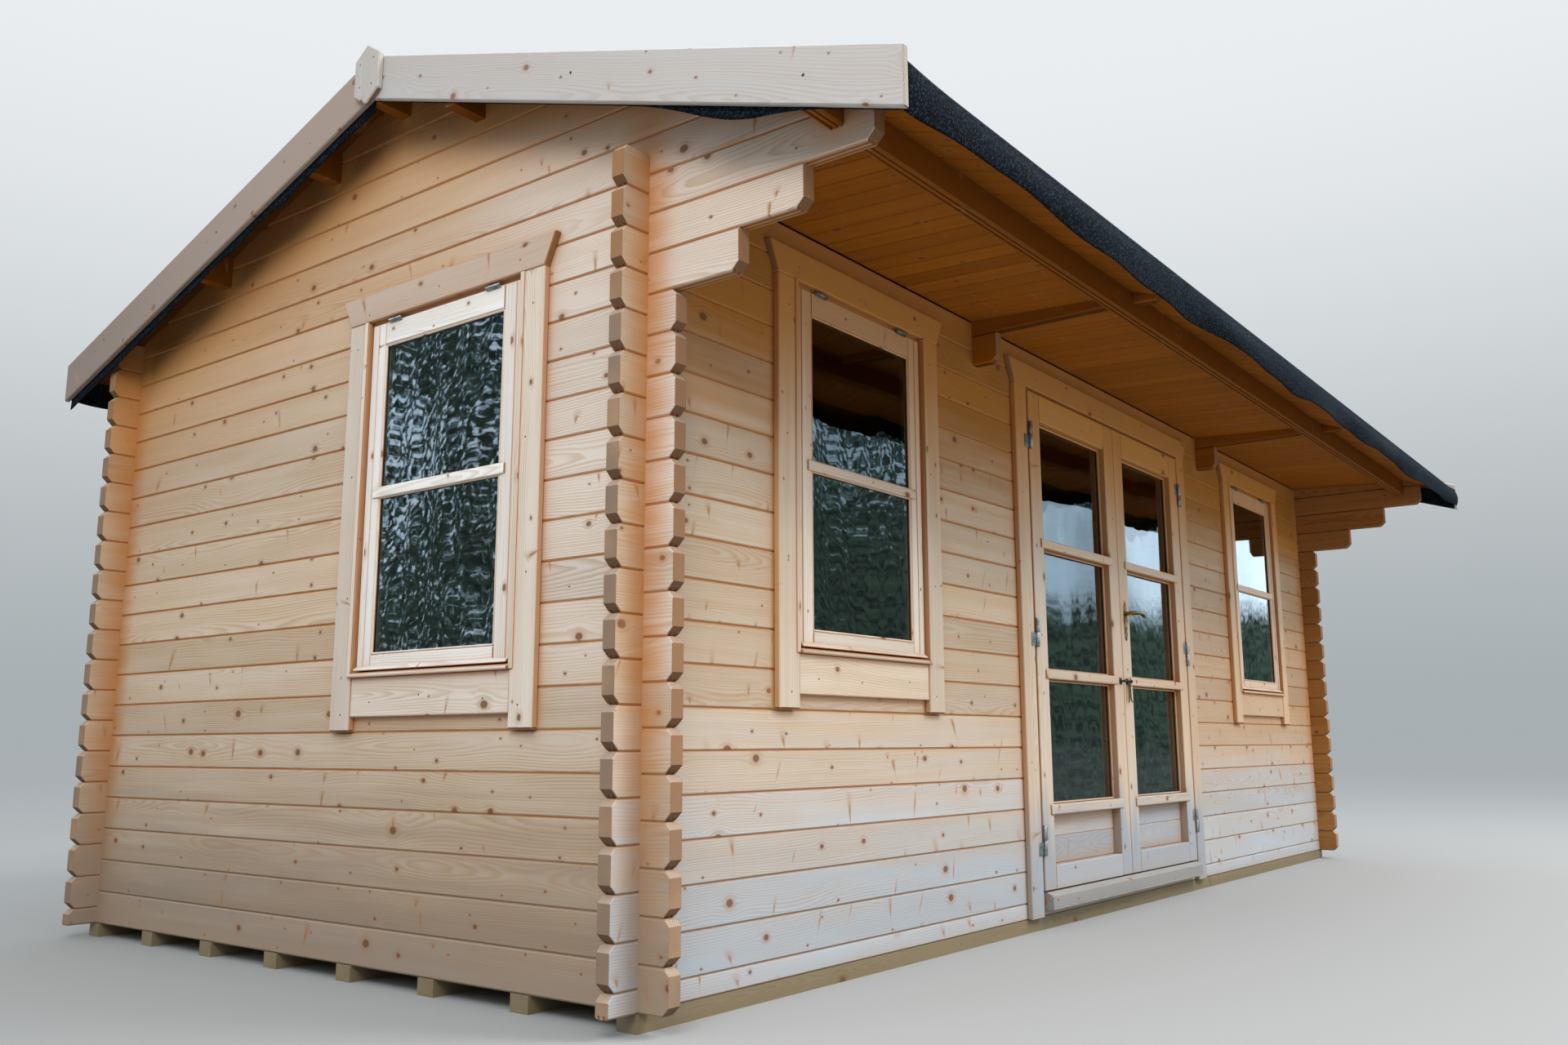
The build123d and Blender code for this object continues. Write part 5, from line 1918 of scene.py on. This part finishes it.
@dataclass
class Ironmongery:
    """Hinges, lever, hasp and nails."""

    palette: Palette
    face: float = PLAN.front - Doorway.trim_thick
    leaf_thick: float = Leaf.thick
    pin_x: float = 0.8105
    pin_y: float = -1.1293
    foot: float = Leaf.foot
    leaf: float = Leaf.height
    hinge: float = 0.108
    hinge_end: float = 0.186
    hasp_rise: float = 0.815
    hook_line: tuple = (
        (0.008, 0.006, 0.0028),
        (0.011, -0.03, 0.0028),
        (0.011, -0.07, 0.0028),
        (0.012, -0.084, 0.0026),
        (0.014, -0.09, 0.002),
    )
    lever: tuple = (0.076, 1.2585)
    lever_line: tuple = (
        (0.0, 0.001, 0.0, 0.009),
        (0.0, 0.024, 0.0, 0.0085),
        (0.0, 0.038, 0.0, 0.0088),
        (0.006, 0.046, 0.0, 0.0092),
        (0.02, 0.048, 0.001, 0.0085),
        (0.05, 0.047, 0.003, 0.0072),
        (0.08, 0.046, 0.001, 0.0078),
        (0.103, 0.045, -0.003, 0.0088),
        (0.117, 0.042, -0.008, 0.0082),
        (0.122, 0.039, -0.01, 0.005),
    )

    def door_hinges(self) -> None:
        """Lift-off hinges: the lower halves on the frame and the upper halves on the leaves."""
        lower = bmesh.new()
        half = self.hinge / 2
        heights = [self.foot + rise for rise in (self.hinge_end, self.leaf / 2, self.leaf - self.hinge_end)]
        for name, side in (("left", -1.0), ("right", 1.0)):
            upper = bmesh.new()
            x = side * self.pin_x
            halves = (
                (lower, -1.0, 0.0003, side * 0.0425, (-half, -0.002), side * 0.03),
                (upper, 1.0, 0.0004, side * -0.0325, (0.001, half), side * -0.02),
            )
            for z in heights:
                for part, up, gap, wing, (low, high), shift in halves:
                    drum(part, (x, self.pin_y, z + up * (half / 2 + gap)), 0.007, half - 0.0006, Grain.Z)
                    drum(part, (x, self.pin_y, z + up * (half + 0.0015)), 0.0055, 0.003, Grain.Z)
                    x0, x1 = sorted((x, x + wing))
                    plate(part, (x0, self.face - 0.0025, z + low), (x1, self.face, z + high))
                    for rise in (0.036, 0.016):
                        screw = (x + shift, self.face - 0.0027, z + up * rise)
                        drum(part, screw, 0.0032, 0.0012, Grain.Y, 0.0003)
            first = len(upper.faces)
            self.hasp(upper, side)
            next_finish(upper, first, 1)
            nodes, finishes = (f"{name}_leaf_hardware",), (self.palette.zinc, self.palette.iron)
            settle(upper, f"{name}_leaf_fittings", nodes, finishes, f"{name}_door")
        settle(lower, "frame_hinge_halves", ("frame_hinges",), (self.palette.zinc,))

    def hasp(self, mesh: Mesh, side: float) -> None:
        """Half of the hasp on a leaf: a staple on the left one, a swinging hook on the right one.

        Args:
            mesh: Mesh to add to.
            side: -1 for the left leaf, 1 for the right.
        """
        x, y, z = -0.011 if side < 0 else 0.062, self.face, self.foot + self.hasp_rise
        plate(mesh, (x - 0.013, y - 0.003, z - 0.014), (x + 0.013, y, z + 0.014), 0.001)
        drum(mesh, (x, y - 0.012, z), 0.0045, 0.02, Grain.Y)
        drum(mesh, (x, y - 0.022, z), 0.0075, 0.006, Grain.Y, 0.002)
        if side < 0:
            return
        for shift, spread in ((-0.007, -0.012), (0.009, 0.011)):
            bends = zip((0.0, 0.0, 0.0, 0.4, 1.0), self.hook_line)
            line = [(x + shift + spread * share, y - out, z + rise) for share, (out, rise, _) in bends]
            sweep(mesh, line, [row[2] for row in self.hook_line], 12)

    def backplate(self, y: float, way: float) -> Mesh:
        """Waisted backplate with rounded ends.

        Args:
            y: Face of the leaf that it lies on.
            way: -1 outside, 1 inside.

        Returns:
            The plate.
        """
        x, z = self.lever
        single = bmesh.new()
        for vert in bmesh.ops.create_circle(single, cap_ends=True, segments=72, radius=1.0)["verts"]:
            angle = math.atan2(vert.co.y, vert.co.x)
            high = math.sin(angle)
            lobes = 0.78 + 0.22 * math.cos(high * 9.4) ** 2
            wide = 0.0185 * math.cos(angle) * lobes * (1.0 - 0.25 * high**8)
            vert.co = Vector((x + wide, y, z - 0.033 + 0.0885 * high))
        push_out(single, (0.0, way * 0.0035, 0.0))
        return single

    def lock(self) -> None:
        """Backplates and the lever on both faces of the right leaf."""
        x, z = self.lever
        plates, lever = bmesh.new(), bmesh.new()
        for y, way in ((self.face, -1.0), (self.face + self.leaf_thick, 1.0)):
            join(plates, self.backplate(y, way))
            drum(plates, (x, y + way * 0.0055, z), 0.0135, 0.005, Grain.Y, 0.0015)
            drum(plates, (x, y + way * 0.004, z - 0.062), 0.0065, 0.003, Grain.Y, 0.001)
            for rise in (0.042, -0.115):
                drum(plates, (x, y + way * 0.0038, z + rise), 0.0035, 0.0018, Grain.Y, 0.0005)
            points = [(x + along, y + way * out, z + up) for along, out, up, _ in self.lever_line]
            sweep(lever, points, [row[3] for row in self.lever_line], 24)
        drum(lever, (x, self.face + self.leaf_thick / 2, z), 0.0088, 0.05, Grain.Y)
        settle(plates, "lever_plates", ("lock_plates",), (self.palette.brass,), "right_door")
        settle(lever, "lever", ("lever_handle",), (self.palette.brass,), "handle")

    def window_hinges(self, turns: Sequence[Matrix]) -> None:
        """Butt hinges over the top of each sash.

        Args:
            turns: Places of the windows.
        """
        mesh = bmesh.new()
        for turn in turns:
            for x in (-0.2355, 0.2355):
                single = bmesh.new()
                drum(single, (x, -0.017, 1.1125), 0.005, 0.062, Grain.X)
                plate(single, (x - 0.031, -0.0145, 1.1035), (x + 0.031, -0.012, 1.1125))
                for shift in (-0.0105, 0.0105):
                    drum(single, (x + shift, -0.017, 1.1125), 0.0055, 0.0012, Grain.X)
                single.transform(turn)
                join(mesh, single)
        settle(mesh, "sash_hinges", ("window_hinges",), (self.palette.zinc,))

    def nails(self, turns: Sequence[Matrix]) -> None:
        """Nail heads in the trims, aprons, head boards and verge boards.

        Args:
            turns: Places of the windows.
        """
        mesh = bmesh.new()
        dice = random.Random(77)
        head = (0.0026, 0.0012, Grain.Y, 0.0004, 10)
        window = [(side * 0.4155, -0.0222, z) for side in BOTH for z in (-0.13, 0.24, 0.63, 1.03)]
        window += [(x, -0.0232, 1.158) for x in (-0.36, -0.02, 0.35)]
        window += [(x, -0.0182, -0.086) for x in (-0.27, -0.03, 0.25)]
        for turn in turns:
            single = bmesh.new()
            for x, y, z in window:
                drum(single, (x + dice.uniform(-0.012, 0.012), y, z + dice.uniform(-0.012, 0.012)), *head)
            single.transform(turn)
            join(mesh, single)
        levels = (0.16, 0.62, 1.14, 1.66, 2.04)
        door = [(side * 0.872, self.face - 0.0002, z) for side in BOTH for z in levels]
        door += [(x, self.face - 0.0012, 2.15) for x in (-0.72, -0.2, 0.31, 0.8)]
        for x, y, z in door:
            drum(mesh, (x + dice.uniform(-0.015, 0.015), y, z), *head)
        for way in BOTH:
            for y in (-1.72, -0.93, 0.9, 1.7):
                z = PLAN.underside(y) + dice.uniform(-0.03, 0.01)
                drum(mesh, (way * 3.1337, y, z), 0.0042, 0.0014, Grain.X, 0.0005, 14)
            for y, rise in ((-0.035, 0.03), (0.035, 0.025), (-0.03, -0.06), (0.032, -0.055)):
                drum(mesh, (way * 3.1537, y, PLAN.ridge + rise), 0.0028, 0.001, Grain.X, 0.0003, 10)
        settle(mesh, "nail_heads", (), (self.palette.iron,))

    def build(self, turns: Sequence[Matrix]) -> None:
        """Build all fittings.

        Args:
            turns: Places of the windows.
        """
        self.door_hinges()
        self.lock()
        self.window_hinges(turns)
        self.nails(turns)


# Studio
@dataclass
class Studio:
    """Floor, light and camera."""

    overhead: Colour = (1.35, 1.44, 1.50)
    lower_sky: Colour = (1.05, 1.20, 1.34)
    horizon: Colour = (0.05, 0.065, 0.06)
    bright_sky: Colour = (1.45, 2.05, 2.60)
    dull_share: float = 0.6
    glare: Colour = (2.9, 3.6, 4.25)
    dark_leaf: Colour = (0.05, 0.08, 0.08)
    pale_leaf: Colour = (0.17, 0.28, 0.22)
    backdrop_low: Colour = (0.445, 0.487, 0.505)
    backdrop_high: Colour = (0.93, 0.965, 0.985)
    strength: float = 0.88
    floor_tone: Colour = (0.36, 0.36, 0.356)
    lens: float = 29.4234
    place: Point = (-5.369856, -3.360264, 0.691416)
    rows: tuple = ((0.60593, -0.79551, -0.00373), (0.13341, 0.10623, -0.98535), (0.78425, 0.59655, 0.17050))

    def camera(self) -> None:
        """Camera at the photograph's place."""
        data = bpy.data.cameras.new("view")
        data.sensor_fit = "HORIZONTAL"
        data.sensor_width = 36.0
        data.lens = self.lens
        data.clip_end = 300.0
        view = bpy.data.objects.new("view", data)
        right, down, ahead = (Vector(row).normalized() for row in self.rows)
        turn = Matrix((right, -down, -ahead)).transposed().to_4x4()
        view.matrix_world = Matrix.Translation(self.place) @ turn
        bpy.context.scene.collection.objects.link(view)
        bpy.context.scene.camera = view

    def ground(self) -> None:
        """Plain pale floor."""
        mesh = bmesh.new()
        bmesh.ops.create_grid(mesh, x_segments=1, y_segments=1, size=150.0)
        data = bpy.data.meshes.new("studio_floor")
        mesh.to_mesh(data)
        mesh.free()
        coat = Coat("studio_floor")
        data.materials.append(coat.shade(Base_Color=self.floor_tone, Roughness=0.9, Specular_IOR_Level=0.0))
        floor = bpy.data.objects.new("studio_floor", data)
        floor.visible_glossy = False
        bpy.context.scene.collection.objects.link(floor)

    def lamp(self, name: str, place: Point, aim: Point, size: float, power: float, colour: Colour) -> None:
        """Soft area light.

        Args:
            name: Name of the light.
            place: Where it hangs.
            aim: Where it points.
            size: Its side.
            power: Watts.
            colour: Its colour.
        """
        data = bpy.data.lights.new(name, "AREA")
        data.size = size
        data.energy = power
        data.color = colour
        lamp = bpy.data.objects.new(name, data)
        way = Vector(aim) - Vector(place)
        lamp.matrix_world = Matrix.Translation(place) @ way.to_track_quat("-Z", "Y").to_matrix().to_4x4()
        bpy.context.scene.collection.objects.link(lamp)

    def sky(self) -> None:
        """Plain pale backdrop to the eye, even sky for light, and a sky through foliage for reflections."""
        world = bpy.data.worlds.new("soft_sky")
        bpy.context.scene.world = world
        world.use_nodes = True
        graph = Graph(world.node_tree)
        way = graph.value("ShaderNodeTexCoord", output="Generated")
        toward, aside, height = graph.split(way)
        behind = (-toward).band(0.1, 0.45)
        above = graph.mix(height.band(0.15, 0.8), self.lower_sky, self.overhead)
        even = graph.mix((behind * -0.15 + height).band(0.0, 0.2), self.horizon, above)
        rise = height * 0.3
        fine = graph.noise(graph.vector(toward + rise, aside + rise, height * 0.7), 290.0, 7.0)
        coarse = graph.noise(way, 12.0)
        leafy = fine * 0.75 + coarse * 0.25 - 0.5
        near = (-aside).band(0.4, 0.5)
        clear_of = (height - (near * 0.155 + 0.09)) * (near * -1.5 + 2.5)
        ahead = leafy * (near * 0.9 + 0.12) + clear_of
        back = leafy * 2.4 + (height * 0.32 - 0.13)
        level = graph.value("ShaderNodeMix", {0: behind, 2: ahead, 3: back})
        foliage = graph.mix(fine.band(0.35, 0.6), self.dark_leaf, self.pale_leaf)
        dull = tuple(self.dull_share * part for part in self.bright_sky)
        gaps = graph.mix(coarse.band(0.4, 0.62), dull, self.bright_sky)
        clear = back.band(0.03, 0.2) * behind
        open_sky = aside.band(-0.44, -0.28) * (-toward).fall(0.1, 0.45)
        gaps = gaps.tint(self.glare, clear.most(open_sky))
        broken = graph.mix(level.band(-0.02, 0.05), foliage, gaps)
        backdrop = graph.mix(height.band(0.0, 0.5), self.backdrop_low, self.backdrop_high)
        colour = graph.mix(graph.value("ShaderNodeLightPath", output="Is Glossy Ray"), even, broken)
        colour = colour.tint(backdrop, graph.value("ShaderNodeLightPath", output="Is Camera Ray"))
        lit = graph.value("ShaderNodeBackground", {"Color": colour, "Strength": self.strength})
        graph.node("ShaderNodeOutputWorld", {0: lit})

    def build(self) -> None:
        """Build the studio."""
        self.camera()
        self.ground()
        self.sky()
        self.lamp("gable", (-7.5, -3.6, 5.2), (-3.0, -0.9, 1.8), 2.6, 215.0, (1.0, 0.99, 0.98))
        self.lamp("front", (2.0, -8.2, 9.6), (1.0, -1.0, 0.8), 5.0, 1040.0, (1.0, 0.99, 0.98))
        self.lamp("porch", (2.2, -7.5, 2.0), (0.4, -1.1, 1.2), 3.0, 62.0, (1.0, 0.98, 0.95))
        bpy.context.scene.view_settings.view_transform = "Standard"


def main() -> None:
    """Dress the cabin piece by piece."""
    logging.basicConfig(level=logging.INFO, format="%(message)s")
    Studio().build()
    palette = Palette()
    walls = Walls(palette)
    walls.build()
    Roof(palette).build()
    Floor(palette).build()
    turns = [wall_turn(x, PLAN.front, walls.front_sill) for x in walls.window_centres]
    turns.append(wall_turn(-PLAN.half_length, walls.gable_centre, walls.gable_sill, True))
    porch = (palette.front_joinery, palette.front_sash, palette.front_head)
    open_side = (palette.joinery, palette.sash, palette.head)
    windows = (("left_window", 301, porch), ("right_window", 311, porch), ("gable_window", 321, open_side))
    for (name, seed, finishes), turn in zip(windows, turns):
        Window(palette, name, seed, turn, *finishes).build()
    Doorway(palette, "doorway", 211, wall_turn(0.0, PLAN.front)).build()
    for name, start, end, seed in (("left", -0.808, 0.023, 401), ("right", 0.028, 0.808, 411)):
        turn = wall_turn((start + end) / 2, PLAN.front - Doorway.trim_thick)
        Leaf(palette, f"{name}_leaf", seed, turn, f"{name}_door", (end - start) / 2).build()
    Ironmongery(palette).build(turns)
    for node in ("window_glass", "left_leaf_glass", "right_leaf_glass"):
        dress(node, palette.pane)


if __name__ == "__main__":
    main()
